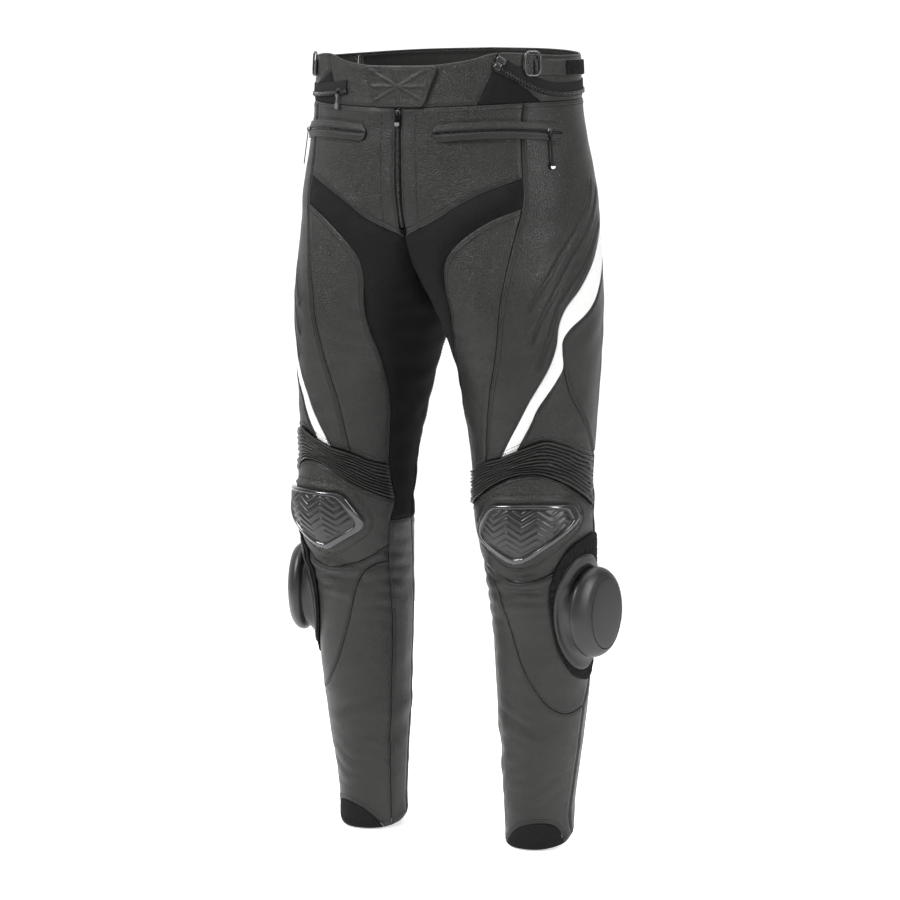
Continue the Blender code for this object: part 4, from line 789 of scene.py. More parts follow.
def grid_faces(rows, columns, wrap=False):
    """Quads of a grid of points stored row by row."""
    row, column = np.meshgrid(np.arange(rows - 1), np.arange(columns if wrap else columns - 1), indexing="ij")
    a, b = row * columns + column, row * columns + (column + 1) % columns
    return np.stack([a, b, b + columns, a + columns], axis=-1).reshape(-1, 4)


knee_top, rib_bottom = seam_run("knee_top", 1, 10, 0.0028), seam_run("rib_bottom", 0, 8, 0.0028)
top_share, knee_width = arc_share(knee_top)
bottom_share = arc_share(rib_bottom)[0]
across_share = np.linspace(SEAM_GAP / 2 / knee_width, 1 - SEAM_GAP / 2 / knee_width, 120)
top_line = np.stack([np.interp(across_share, top_share, knee_top[:, k]) for k in (0, 1)], axis=1)
bottom_line = np.stack([np.interp(across_share, bottom_share, rib_bottom[:, k]) for k in (0, 1)], axis=1)
down = np.linspace(0.003, 0.997, RIB_COUNT * ROWS_IN_RIB + 1)[:, None]
rib_pattern = (top_line[None] * (1 - down[..., None]) + bottom_line[None] * down[..., None]).reshape(-1, 2)
rib_side = np.minimum(across_share, 1 - across_share) * knee_width
pinch = 1 + 0.20 * np.sin(44 * across_share[None] + 2.3 * np.floor(down * RIB_COUNT)) * np.sin(19 * across_share)
wander = 0.16 * np.sin(16 * across_share[None] + 5 * down) + 0.10 * np.sin(37 * across_share[None] - 9 * down)
hump = (np.abs(np.sin(math.pi * (RIB_COUNT * down + wander * np.sin(math.pi * down)))) ** 0.6
        * np.clip(rib_side / 0.008, 0.0, 1.0)[None] ** 0.7)
rib_level = (RIB_HEIGHT * hump * pinch - 0.0003).reshape(-1)
rib_points = (leg_point(rib_pattern[:, 0], rib_pattern[:, 1])
              + outward(leg_point, rib_pattern[:, 0], rib_pattern[:, 1]) * rib_level[:, None])
# rows run down and columns forward, so the quads are turned to face out
rib_faces = grid_faces(len(down), len(across_share))
# the hide is cut as long as its way over the ribs, and as wide as the knee
for cut in both_sides("knee_ribs_hide", rib_points, rib_faces, [black_hide], "leather", node="knee_ribs",
                      pattern=flatten(rib_pattern)):
    thicken(cut, LEATHER)

# ---- Knee cups ----
# A moulded hard cup on each knee: a glossy gunmetal frame round a darker plate with raised
# zigzag ribs. It is stitched and bonded to the padded knee panel.
CUP_FLOOR = 0.0018
CUP_PROFILE = [(0.02, CUP_FLOOR), (0.60, CUP_FLOOR), (0.985, CUP_FLOOR), (1.0, 0.0024), (1.0, 0.0036), (0.992, 0.0052),
               (0.975, 0.0064), (0.950, 0.0070), (0.920, 0.0073), (0.880, 0.0074), (0.845, 0.0071), (0.832, 0.0062),
               (0.824, 0.0047), (0.700, 0.0050), (0.400, 0.0056), (0.02, 0.0058)]


def loft_faces(rings, count):
    """Triangles through rings of equal count, whose first and last are closed with fans."""
    quads = 1 + grid_faces(rings, count, wrap=True)
    sides = np.vstack([quads[:, [0, 1, 2]], quads[:, [0, 2, 3]]])
    i = np.arange(count)
    j = (i + 1) % count
    last = rings * count + 1
    start = np.stack([np.zeros(count, int), 1 + j, 1 + i], axis=1)
    end = np.stack([np.full(count, last), last - count + i, last - count + j], axis=1)
    return np.vstack([start, sides, end])


def loft_points(rings):
    """Points of a loft: the first ring's middle, the rings, and the last ring's middle."""
    return np.vstack([rings[0].mean(axis=0)[None], rings.reshape(-1, 3), rings[-1].mean(axis=0)[None]])


def dense_profile(profile, rows):
    """Profile resampled in even steps of its own length, weighted so that edges stay crisp."""
    profile = np.array(profile, float)
    span = np.abs(np.diff(profile[:, 0])) * 0.04 + np.abs(np.diff(profile[:, 1])) + 0.0002
    arc = np.concatenate([[0.0], np.cumsum(span)])
    at = np.linspace(0, arc[-1], rows)
    return np.stack([np.interp(at, arc, profile[:, k]) for k in range(profile.shape[1])], axis=1)


def raised_on_form(outline, profile, relief=None):
    """Closed solid on the cloth: its outline drawn to scale about its middle at each profile level."""
    middle = outline.mean(axis=0)
    rings = middle + (outline[None] - middle) * profile[:, 0][:, None, None]
    flat_rings = rings.reshape(-1, 2)
    level = np.repeat(profile[:, 1], len(outline))
    if relief is not None:
        scale = np.repeat(profile[:, 0], len(outline))
        level = level + relief(flatten(flat_rings) - flatten(middle[None]), scale, level)
    points = (leg_point(flat_rings[:, 0], flat_rings[:, 1])
              + outward(leg_point, flat_rings[:, 0], flat_rings[:, 1]) * level[:, None])
    return loft_points(points.reshape(len(profile), len(outline), 3)), loft_faces(len(profile), len(outline))


def zigzag_ribs(offset, scale, level):
    """Raised zigzags on the plate: level bands bent up and down along it, flat inside the frame."""
    bend = np.abs((offset[:, 0] / 0.017) % 2.0 - 1.0) * 0.011
    band = np.abs(((offset[:, 1] + bend) / 0.0082) % 1.0 - 0.5)
    ridge = np.clip((0.30 - band) / 0.10, 0.0, 1.0)
    return 0.0010 * ridge * np.clip((0.79 - scale) / 0.03, 0.0, 1.0) * (level > 0.0042)


def moulded_material(name, colour, roughness, metallic, coat, speckle):
    """Hard moulding or plating: an even colour with a fine moulded grain and faint scuffs."""
    made, tree, shader = new_material(name, roughness, metallic)
    grain = texture(tree, "ShaderNodeTexNoise", "Object", Scale=1800.0, Detail=3.0)
    scuffs = texture(tree, "ShaderNodeTexNoise", "Object", Scale=60.0, Detail=8.0, Distortion=2.0)
    worn = tuple(min(1.0, 1.25 * c) for c in colour)
    tree.links.new(shades(tree, scuffs.outputs["Fac"], [(0.35, colour), (0.75, worn)]), shader.inputs["Base Color"])
    tree.links.new(spread(tree, scuffs.outputs["Fac"], 0.8 * roughness, 1.3 * roughness), shader.inputs["Roughness"])
    add_bump(tree, shader, grain.outputs["Fac"], speckle, 0.00010)
    shader.inputs["Specular IOR Level"].default_value = 0.35
    shader.inputs["Coat Weight"].default_value = coat
    shader.inputs["Coat Roughness"].default_value = 0.12
    return made


gunmetal = moulded_material("gunmetal_gloss", (0.022, 0.022, 0.024), 0.16, 0.25, 0.5, 0.05)
cup_plate = moulded_material("cup_plate_dark", (0.008, 0.008, 0.0085), 0.36, 0.0, 0.05, 0.15)
cup_profile = dense_profile(CUP_PROFILE, 90)
points, faces = raised_on_form(cup_outline, cup_profile, zigzag_ribs)
ring_of_face = (faces.min(axis=1) - 1) // len(cup_outline)
plate_from = int(np.argmax((cup_profile[:, 0] < 0.832) & (cup_profile[:, 1] > 0.003)))
both_sides("knee_cup_moulding", points, faces, [gunmetal, cup_plate], "gunmetal", node="knee_cup",
           finish_of=(ring_of_face >= plate_from).astype(int))

# ---- Slider pads ----
# Looped fastening pile sewn to the outer calf, for the slider to grip. Its face is matt and
# fuzzy, and its edge a little ragged.
PAD_CORNERS = [(-30, -0.5620), (14, -0.5480), (38, -0.5800), (43, -0.6500), (34, -0.7080), (8, -0.7460),
               (-24, -0.7380), (-48, -0.7000), (-57, -0.6300), (-46, -0.5880)]
PAD_PROFILE = [(0.02, 0.0012), (0.99, 0.0012), (1.0, 0.0018), (0.995, 0.0027), (0.98, 0.0031), (0.5, 0.0031),
               (0.02, 0.0031)]
pile_random = np.random.default_rng(5)


def pile_material(name, colour):
    """Looped pile, fully matt, in tiny raised tufts. Its colour follows the same noise as the bump: darker in the
    hollows as painted shade, lighter on the tops as a painted sheen.
    """
    made, tree, shader = new_material(name, 0.95)
    loops = texture(tree, "ShaderNodeTexVoronoi", "Object", Scale=1100.0)
    clump_relief_shade_and_sheen = texture(tree, "ShaderNodeTexNoise", "Object", Scale=260.0, Detail=6.0)
    # painted shade and painted sheen: the colour ramp reads the noise that also raises the bump, so the hollows are
    # darker and the tops lighter
    low, high = tuple(0.5 * c for c in colour), tuple(2.2 * c for c in colour)
    tree.links.new(shades(tree, clump_relief_shade_and_sheen.outputs["Fac"], [(0.32, low), (0.70, high)]), shader.inputs["Base Color"])
    add_bump(tree, shader, clump_relief_shade_and_sheen.outputs["Fac"], 0.7, 0.0010)
    add_bump(tree, shader, loops.outputs["Distance"], 0.6, 0.0005)
    shader.inputs["Specular IOR Level"].default_value = 0.08
    return made


def pile_tufts(offset, scale, level):
    """Uneven top of the pile: small random lifts that fade at the sewn edge."""
    return np.where(level > 0.0028, 0.00035 * pile_random.standard_normal(len(scale)).clip(-1.5, 1.5), 0.0)


fastening_pile = pile_material("black_fastening_pile", (0.0060, 0.0060, 0.0060))
pad_outline = spaced(rounded(PAD_CORNERS, 0.2), 0.0022)
points, faces = raised_on_form(pad_outline, dense_profile(PAD_PROFILE, 70), pile_tufts)
both_sides("slider_pad_pile", points, faces, [fastening_pile], "hook_and_loop", node="slider_pad")

# ---- Knee sliders ----
# One moulding of hard nylon on each outer calf: a thin base plate bent to the leg, turned up into
# a smooth puck whose outer face is a flat oval inside a shallow groove.
PUCK_ANGLE, PUCK_HEIGHT = -12.0, -0.652
BASE_HALF_ANGLE, BASE_HALF_HEIGHT, BASE_FLOOR = 38.0, 0.074, 0.0041
BASE_ROWS = [(0.02, BASE_FLOOR), (0.50, BASE_FLOOR), (0.98, BASE_FLOOR), (1.0, 0.0046), (1.0, 0.0054), (0.99, 0.0060),
             (0.97, 0.0062), (0.84, 0.0067)]
# Puck rows: half width, half height, shift backwards, distance from the leg's axis
PUCK_ROWS = [
    (0.0395, 0.0515, 0.000, 0.0725), (0.0402, 0.0522, 0.000, 0.0745), (0.0445, 0.0560, 0.000, 0.0780),
    (0.0460, 0.0575, 0.001, 0.0830), (0.0440, 0.0560, 0.003, 0.0890), (0.0385, 0.0515, 0.005, 0.0945),
    (0.0340, 0.0480, 0.006, 0.0966), (0.0318, 0.0462, 0.007, 0.0971), (0.0308, 0.0452, 0.007, 0.0962),
    (0.0298, 0.0443, 0.007, 0.0962), (0.0288, 0.0434, 0.007, 0.0973), (0.0150, 0.0230, 0.007, 0.0979),
    (0.0010, 0.0015, 0.007, 0.0980),
]
PUCK_SIDES = 120


def soften_rows(rings, pieces):
    """Smooth curve through ring after ring: cubic pieces with half the step to the next but one."""
    padded = np.concatenate([rings[:1], rings, rings[-1:]])
    t = np.linspace(0, 1, pieces, endpoint=False)[:, None, None]
    rows = []
    for before, start, end, after in zip(padded[:-3], padded[1:-2], padded[2:-1], padded[3:]):
        rows.append(0.5 * (2 * start + (end - before) * t + (2 * before - 5 * start + 4 * end - after) * t ** 2
                           + (3 * start - before - 3 * end + after) * t ** 3))
    return np.concatenate(rows + [rings[-1:]])


turn = np.linspace(0, 2 * math.pi, PUCK_SIDES, endpoint=False)
round_across, round_up = np.cos(turn), np.sin(turn)
base_outline = np.stack([PUCK_ANGLE + BASE_HALF_ANGLE * round_across,
                         PUCK_HEIGHT + BASE_HALF_HEIGHT * round_up], axis=1)
base_middle = base_outline.mean(axis=0)
puck_rings = []
for scale, level in BASE_ROWS:
    ring = base_middle + (base_outline - base_middle) * scale
    puck_rings.append(leg_point(ring[:, 0], ring[:, 1]) + outward(leg_point, ring[:, 0], ring[:, 1]) * level)
facing = math.radians(PUCK_ANGLE)
face_out = np.array([math.cos(facing), math.sin(facing), 0.0])
face_back = np.array([-math.sin(facing), math.cos(facing), 0.0])
leg_axis = np.array([float(body_column("centre_x", PUCK_HEIGHT)), float(body_column("centre_y", PUCK_HEIGHT)),
                     PUCK_HEIGHT])
for half_width, half_height, shift, reach in PUCK_ROWS:
    puck_rings.append(leg_axis + face_out * reach + np.outer(shift + half_width * round_across, face_back)
                      + np.outer(half_height * round_up, (0.0, 0.0, 1.0)))
puck_rows = soften_rows(np.array(puck_rings), 5)
puck_nylon = moulded_material("puck_nylon", (0.011, 0.011, 0.0115), 0.38, 0.0, 0.0, 0.35)
both_sides("knee_slider_moulding", loft_points(puck_rows), loft_faces(len(puck_rows), PUCK_SIDES), [puck_nylon], "puck",
           node="knee_slider")

# ---- Back waistband and its lining ----
# The raised back of the waistband is one strip of cowhide from side to side, faced inside with a
# dark woven lining that shows above the front edge.
back_low = seam_run("band_bottom", 7, 10)
back_low[-1, 0] = 90.0
back_high = seam_run("band_top", 8, 6)
mirror_turn = np.array([180.0, 0.0])
back_outline = np.vstack([back_low, (mirror_turn + back_low * (-1, 1))[::-1][1:],
                          (mirror_turn + back_high * (-1, 1))[::-1], back_high[1:]])
band_outline = inset(back_outline, SEAM_GAP / 2)
points, faces, flat = cut_sheet(band_outline, point=waist_point)
back_band = build("back_waistband_hide", points, faces, [black_hide], "leather", pattern=flat)
thicken(back_band, LEATHER)
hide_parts("band_back")
declare_cut(band_outline)

lining_cloth = stretch_material("dark_lining_cloth", (0.016, 0.016, 0.0155), 160.0)
lining_outline = inset(back_outline, 0.0035)
points, faces, flat = cut_sheet(lining_outline, point=waist_point, base=-0.0026)
lining = build("back_waistband_lining", points, faces, [lining_cloth], "lining", pattern=flat)
thicken(lining, LINING)
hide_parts("band_lining")
declare_cut(lining_outline)

# ---- Tab over the fly ----
# A padded cowhide tab that tapers downwards and fastens over the fly with hidden hook and loop.
# Its face is embossed with a plain cross and slanting rays, and its edge is piped.
TAB_CORNERS = [(-72.7, 0.0262), (-107.3, 0.0262), (-101.0, -0.0248), (-79.0, -0.0248)]
TAB_FLOOR, TAB_FACE = 0.0007, 0.0026


def tab_relief(flat, distance):
    """Piped edge, then ridges from the middle: an upright cross and four slanting rays."""
    middle = np.array([float(flat[:, 0].mean()), 0.0007])
    u, v = (flat - middle).T
    reach = np.minimum(np.minimum(np.abs(u), np.abs(v)), np.abs(np.abs(v) - 0.62 * np.abs(u)) * 0.85)
    ridge = 0.0011 * np.exp(-(reach / 0.0015) ** 2)
    piping = 0.0009 * np.exp(-((distance - 0.0016) / 0.0013) ** 2) - 0.0010 * np.clip(1 - distance / 0.0009, 0, 1)
    return piping + ridge * np.clip((distance - 0.0042) / 0.0015, 0.0, 1.0)


tab_outline = spaced(rounded(TAB_CORNERS, 0.06), 0.0022)
points, faces, flat = cut_sheet(tab_outline, grid=0.0017, point=waist_point, relief=tab_relief, base=TAB_FACE)
tab = build("fly_tab_hide", points, faces, [black_hide], "leather", pattern=flat)
thicken(tab, TAB_FACE - TAB_FLOOR)
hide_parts("fly_tab")
declare_cut(tab_outline)

# ---- Zips ----
# Moulded teeth on woven black tapes: one in the fly, one in each welted pocket, and a long one
# round the waist that joins a jacket. Metal sliders carry a small arch that holds the pull.
FLY_ZIP_TOP, FLY_ZIP_END = -0.0262, -0.1710
POCKET_PATH = [(-76.5, -0.0560), (-62, -0.0530), (-49, -0.0515), (-34, -0.0525), (-17, -0.0560)]
CONNECTION_PATH = [(-49, 0.0320), (-42, 0.0205), (-33, 0.0080), (-24, 0.0000), (-12, -0.0030), (10, 0.0000),
                   (40, 0.0065), (70, 0.0110), (90, 0.0120), (110, 0.0110), (140, 0.0065), (170, 0.0000),
                   (195, -0.0030), (222, -0.0040), (243, 0.0000)]
# Half of the welt's section as (across, level); the other half mirrors it
WELT_HALF = [(-0.0105, 0.0005), (-0.0106, 0.0014), (-0.0100, 0.0022), (-0.0088, 0.0026), (-0.0072, 0.0025),
             (-0.0060, 0.0030), (-0.0042, 0.0035), (-0.0024, 0.0032), (-0.0015, 0.0022), (-0.0013, 0.0009)]
TAPE_SECTION = [(-0.0085, 0.0006), (-0.0086, 0.0013), (-0.0080, 0.0016), (0.0080, 0.0016), (0.0086, 0.0013),
                (0.0085, 0.0006)]
STRAP_SECTION = [(-0.0095, 0.0006), (-0.0097, 0.0016), (-0.0090, 0.0024), (-0.0060, 0.0026), (0.0060, 0.0026),
                 (0.0090, 0.0024), (0.0097, 0.0016), (0.0095, 0.0006)]
SLIDER_HALF_LENGTH, SLIDER_HALF_WIDTH, SLIDER_TOP, ARCH_RISE = 0.0045, 0.0033, 0.0022, 0.0024


def turned_out(points, faces):
    """The same solid with its faces pointing outwards, judged by its signed volume."""
    faces = np.asarray(faces)
    corners = np.asarray(points)[faces]
    volume = np.sum(corners[:, 0] * np.cross(corners[:, 1], corners[:, 2]))
    return faces if volume > 0 else faces[:, ::-1]


def along_form(path, step, point=leg_point):
    """Frames along a pattern line: places on the form, directions across it and normals."""
    path = smooth_line(path, step)
    centres = point(path[:, 0], path[:, 1])
    normals = outward(point, path[:, 0], path[:, 1])
    ahead = np.gradient(centres, axis=0)
    ahead /= np.linalg.norm(ahead, axis=1, keepdims=True)
    across = np.cross(normals, ahead)
    return centres, across / np.linalg.norm(across, axis=1, keepdims=True), normals, ahead


def band_solid(centres, across, normals, section, widths=None, lift=0.0):
    """Closed band: the section drawn across and out from each centre, narrowed by its width there."""
    section = np.array(section, float)
    widths = np.ones(len(centres)) if widths is None else widths
    rings = (centres[:, None] + across[:, None] * (section[None, :, 0:1] * widths[:, None, None])
             + normals[:, None] * (section[None, :, 1:2] + lift))
    points = loft_points(rings)
    return points, turned_out(points, loft_faces(len(rings), len(section)))


def round_end_widths(count, length, half):
    """Half widths, as a share, of a band whose ends are half circles."""
    from_end = np.minimum(np.linspace(0, length, count), np.linspace(length, 0, count))
    return np.sqrt(np.clip(1 - np.clip(1 - from_end / half, 0, 1) ** 2, 0.02, 1))


# corners of a tooth in its own frame, from -1 to 1: its base is wider than its head
TOOTH = np.array([(-1, -1, 0), (1, -1, 0), (1, 1, 0), (-1, 1, 0),
                  (-0.7, -0.8, 1), (0.7, -0.8, 1), (0.7, 0.8, 1), (-0.7, 0.8, 1)])
TOOTH_FACES = np.array([(0, 3, 2, 1), (4, 5, 6, 7), (0, 1, 5, 4), (1, 2, 6, 5), (2, 3, 7, 6), (3, 0, 4, 7)])


def zip_teeth(centres, across, normals, ahead, half_long, half_wide, tall, offset, level):
    """Two staggered rows of teeth: a tapered block at every station, alternately to each side."""
    side = np.where(np.arange(len(centres)) % 2 == 0, 1.0, -1.0)[:, None]
    places = centres + across * (offset + side * half_wide * 0.55) + normals * level
    blocks = (places[:, None] + ahead[:, None] * TOOTH[None, :, 0:1] * half_long
              + across[:, None] * TOOTH[None, :, 1:2] * half_wide + normals[:, None] * TOOTH[None, :, 2:3] * tall)
    faces = TOOTH_FACES[None] + 8 * np.arange(len(centres))[:, None, None]
    flip = np.linalg.det(np.stack([ahead[0], across[0], normals[0]])) < 0
    faces = faces.reshape(-1, 4)
    return blocks.reshape(-1, 3), faces[:, ::-1] if flip else faces


def seat_on(here, out, lift):
    """Frame of a slider: its columns are along the cloth, up the cloth and straight out; and its place."""
    out = np.asarray(out, float) / np.linalg.norm(out)
    up = np.array([0.0, 0.0, 1.0]) - out * out[2]
    up /= np.linalg.norm(up)
    return np.stack([np.cross(up, out), up, out], axis=1), np.asarray(here, float) + out * lift


def slider_solids(axes, place):
    """Slider body, a rounded block that narrows downwards, and the arch bent over it."""
    turn = np.linspace(0, 2 * math.pi, 32, endpoint=False)
    wide = np.sign(np.cos(turn)) * np.abs(np.cos(turn)) ** 0.55 * SLIDER_HALF_WIDTH
    tall = np.sign(np.sin(turn)) * np.abs(np.sin(turn)) ** 0.55 * SLIDER_HALF_LENGTH
    wide = wide * np.where(tall < 0, 1 + 0.30 * tall / SLIDER_HALF_LENGTH, 1.0)
    rings = [np.stack([wide * size, tall * size, np.full(32, level)], axis=1)
             for size, level in ((0.94, 0.0), (1.0, 0.0003), (1.0, 0.0017), (0.95, 0.0021), (0.86, SLIDER_TOP),
                                 (0.3, SLIDER_TOP))]
    block = loft_points(np.array(rings))
    bend = np.linspace(0, math.pi, 17)
    arch_line = np.stack([np.zeros(17), 0.0023 * np.cos(bend),
                          SLIDER_TOP - 0.0006 + (ARCH_RISE + 0.0009) * np.sin(bend) ** 0.7], axis=1)
    arch, arch_faces = tube(arch_line, 0.00055, 8)
    block_faces = turned_out(block, loft_faces(len(rings), 32))
    points = np.vstack([block, arch]) @ axes.T + place
    return points, np.vstack([block_faces, arch_faces + len(block)])


def tube(path, radius, sides, closed=False):
    """Round bar along a path: a ring square to it at each point, carried without twist from a fixed side."""
    ahead = (np.roll(path, -1, axis=0) - np.roll(path, 1, axis=0)) if closed else np.gradient(path, axis=0)
    ahead /= np.linalg.norm(ahead, axis=1, keepdims=True)
    spread_out = np.linalg.svd(path - path.mean(axis=0), full_matrices=False)[2][2]
    side = np.broadcast_to(spread_out, path.shape)
    other = np.cross(ahead, side)
    turn = np.linspace(0, 2 * math.pi, sides, endpoint=False)[None, :, None]
    rings = path[:, None] + radius * (np.cos(turn) * side[:, None] + np.sin(turn) * other[:, None])
    if closed:
        rings = np.concatenate([rings, rings[:1]])
        faces = grid_faces(len(rings), sides, wrap=True) % (len(path) * sides)
        points = rings[:-1].reshape(-1, 3)
        return points, turned_out(points, np.vstack([faces[:, [0, 1, 2]], faces[:, [0, 2, 3]]]))
    points = loft_points(rings)
    return points, turned_out(points, loft_faces(len(rings), sides))


dark_metal = moulded_material("blackened_metal", (0.045, 0.045, 0.047), 0.30, 0.60, 0.1, 0.12)
tooth_plastic = moulded_material("black_tooth_plastic", (0.014, 0.014, 0.015), 0.26, 0.0, 0.20, 0.10)
zip_tape = stretch_material("black_zip_tape", (0.011, 0.011, 0.011), 210.0)


def two_sided(name, points, faces, finish, slot, node=None):
    """Plain solid on both sides of the garment."""
    return both_sides(name, points, faces, [finish], slot, node=node)


# Pocket welts, teeth and sliders
pocket_centres, pocket_across, pocket_normals, pocket_ahead = along_form(POCKET_PATH, 0.0016)
pocket_length = float(np.linalg.norm(np.diff(pocket_centres, axis=0), axis=1).sum())
welt_section = WELT_HALF + [(-across, level) for across, level in reversed(WELT_HALF)]
welt_widths = round_end_widths(len(pocket_centres), pocket_length, 0.0105)
points, faces = band_solid(pocket_centres, pocket_across, pocket_normals, welt_section, welt_widths)
two_sided("pocket_welt", points, faces, black_hide, "leather", node="pocket_zip")
teeth_from, teeth_to = 5, len(pocket_centres) - 5
points, faces = zip_teeth(pocket_centres[teeth_from:teeth_to], pocket_across[teeth_from:teeth_to],
                          pocket_normals[teeth_from:teeth_to], pocket_ahead[teeth_from:teeth_to],
                          0.00055, 0.0008, 0.0009, 0.0, 0.0008)
two_sided("pocket_teeth", points, faces, tooth_plastic, "zip")
pocket_angle, pocket_height, pocket_lift = -25.0, -0.0540, 0.0014
pocket_out = outward(leg_point, np.array([pocket_angle]), np.array([pocket_height]))[0]
points, faces = slider_solids(*seat_on(leg_point(pocket_angle, pocket_height), pocket_out, pocket_lift))
two_sided("pocket_slider", points, faces, dark_metal, "metal")

# Fly: tape, teeth and slider on the middle line of the front
fly_heights = np.linspace(FLY_ZIP_TOP, FLY_ZIP_END, 100)


def fly_frame(heights):
    """Middle line of the front: its points, and the normals square to it."""
    angles = np.array([middle_angle(height, 0.0) for height in heights])
    centres = leg_point(angles, heights)
    centres[:, 0] = 0.0
    along = np.gradient(centres, axis=0)
    along /= np.linalg.norm(along, axis=1, keepdims=True)
    return centres, np.cross(along, (1.0, 0.0, 0.0)) * np.sign(-along[:, 2:3]), along


fly_centres, fly_normals, fly_along = fly_frame(fly_heights)
sideways_x = np.tile((1.0, 0.0, 0.0), (len(fly_heights), 1))
fly_tape_section = [(-0.0036, -0.0026), (-0.0036, -0.0015), (0.0036, -0.0015), (0.0036, -0.0026)]
points, faces = band_solid(fly_centres, sideways_x, fly_normals, fly_tape_section)
fly_tape = build("fly_zip_tape", points, faces, [zip_tape], "zip")
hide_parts("fly_zip")
points, faces = zip_teeth(fly_centres, sideways_x, fly_normals, fly_along, 0.00055, 0.0013, 0.0012, 0.0, -0.0015)
build("fly_zip_teeth", points, faces, [tooth_plastic], "zip")
fly_height, fly_lift = -0.0318, -0.0014
slider_middle, slider_normal, _ = fly_frame(np.array([fly_height + 0.001, fly_height, fly_height - 0.001]))
points, faces = slider_solids(*seat_on(slider_middle[1], slider_normal[1], fly_lift))
build("fly_slider", points, faces, [dark_metal], "metal")

# Connection zip: tape, teeth along its lower edge, end box and slider
tape_centres, tape_across, tape_normals, tape_ahead = along_form(CONNECTION_PATH, 0.0019, waist_point)
points, faces = band_solid(tape_centres, tape_across, tape_normals, TAPE_SECTION)
connection_tape = build("connection_zip_tape", points, faces, [zip_tape], "zip")
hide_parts("connection_zip")
points, faces = zip_teeth(tape_centres, tape_across, tape_normals, tape_ahead, 0.0007, 0.0017, 0.0017, -0.0052, 0.0014)
build("connection_zip_teeth", points, faces, [tooth_plastic], "zip")
box_section = [(-0.0086, 0.0014), (-0.0088, 0.0034), (-0.0078, 0.0042), (-0.0006, 0.0042), (0.0004, 0.0034),
               (0.0004, 0.0014)]
points, faces = band_solid(tape_centres[1:6], tape_across[1:6], tape_normals[1:6], box_section)
build("connection_zip_box", points, faces, [tooth_plastic], "zip")
tab_section = [(0.0006, 0.0012), (0.0006, 0.0026), (0.0082, 0.0026), (0.0082, 0.0012)]
points, faces = band_solid(tape_centres[0:7], tape_across[0:7], tape_normals[0:7], tab_section)
build("connection_zip_end_tab", points, faces, [tooth_plastic], "zip")
end_angle, end_height, end_lift = 238.0, -0.0058, 0.0010
end_out = outward(waist_point, np.array([end_angle]), np.array([end_height]))[0]
points, faces = slider_solids(*seat_on(waist_point(end_angle, end_height), end_out, end_lift))
build("connection_slider", points, faces, [dark_metal], "metal")


def pull_material(name, tip_height):
    """Blackened pull whose end is bright metal below a height."""
    made, tree, shader = new_material(name, 0.32, 1.0)
    place = tree.nodes.new("ShaderNodeTexCoord")
    levels = tree.nodes.new("ShaderNodeSeparateXYZ")
    tree.links.new(place.outputs["Object"], levels.inputs["Vector"])
    share = tree.nodes.new("ShaderNodeMapRange")
    tree.links.new(levels.outputs["Z"], share.inputs["Value"])
    share.inputs["From Min"].default_value, share.inputs["From Max"].default_value = tip_height - 0.0003, tip_height
    tree.links.new(shades(tree, share.outputs["Result"], [(0.0, (0.42, 0.42, 0.43)), (1.0, (0.012, 0.012, 0.012))]),
                   shader.inputs["Base Color"])
    scratches = texture(tree, "ShaderNodeTexNoise", "Object", Scale=900.0, Detail=4.0)
    add_bump(tree, shader, scratches.outputs["Fac"], 0.15, 0.0001)
    return made


# each pull's bright tip begins at a height
for pull, tip_height in (("pocket_pull_left", -0.0950), ("pocket_pull_right", -0.0950), ("fly_pull", -0.0425),
                         ("connection_pull", -0.0085)):
    pull_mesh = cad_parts[pull].data
    pull_mesh.materials.clear()
    pull_mesh.materials.append(pull_material(pull + "_finish", tip_height))

# ---- Side adjusters ----
# On each side of the waistband a cowhide strap runs through a blackened wire ring and lies back
# on a patch of fastening pile, so that the waist can be drawn in.
STRAP_PATH = [(-30, 0.0240), (-18, 0.0240), (-6, 0.0240), (8, 0.0245), (17, 0.0250)]
RING_ANGLE, RING_HEIGHT, RING_HALF_WIDTH, RING_HALF_HEIGHT = -31.5, 0.0285, 0.0100, 0.0145
RING_WIRE, RING_LEVEL, RING_POWER = 0.0013, 0.0041, 4.0
strap_centres, strap_across, strap_normals, _ = along_form(STRAP_PATH, 0.0025)
points, faces = band_solid(strap_centres, strap_across, strap_normals, STRAP_SECTION)
two_sided("adjuster_strap_hide", points, faces, black_hide, "leather", node="adjuster_strap")
patch_from = int(0.42 * len(strap_centres))
patch_section = [(-0.0088, 0.0024), (-0.0090, 0.0034), (-0.0080, 0.0038), (0.0080, 0.0038), (0.0090, 0.0034),
                 (0.0088, 0.0024)]
points, faces = band_solid(strap_centres[patch_from:], strap_across[patch_from:], strap_normals[patch_from:],
                           patch_section)
two_sided("adjuster_patch_pile", points, faces, fastening_pile, "hook_and_loop")
ring_axes, ring_place = seat_on(leg_point(RING_ANGLE, RING_HEIGHT),
                                outward(leg_point, np.array([RING_ANGLE]), np.array([RING_HEIGHT]))[0], RING_LEVEL)
turn = np.linspace(0, 2 * math.pi, 64, endpoint=False)
size = (np.abs(np.cos(turn)) ** RING_POWER + np.abs(np.sin(turn)) ** RING_POWER) ** (-1 / RING_POWER)
ring_line = np.stack([RING_HALF_WIDTH * size * np.cos(turn), RING_HALF_HEIGHT * size * np.sin(turn),
                      np.zeros(64)], axis=1)
points, faces = tube(ring_line, RING_WIRE, 12, closed=True)
two_sided("adjuster_ring_wire", points @ ring_axes.T + ring_place, faces, dark_metal, "metal", node="adjuster_ring")

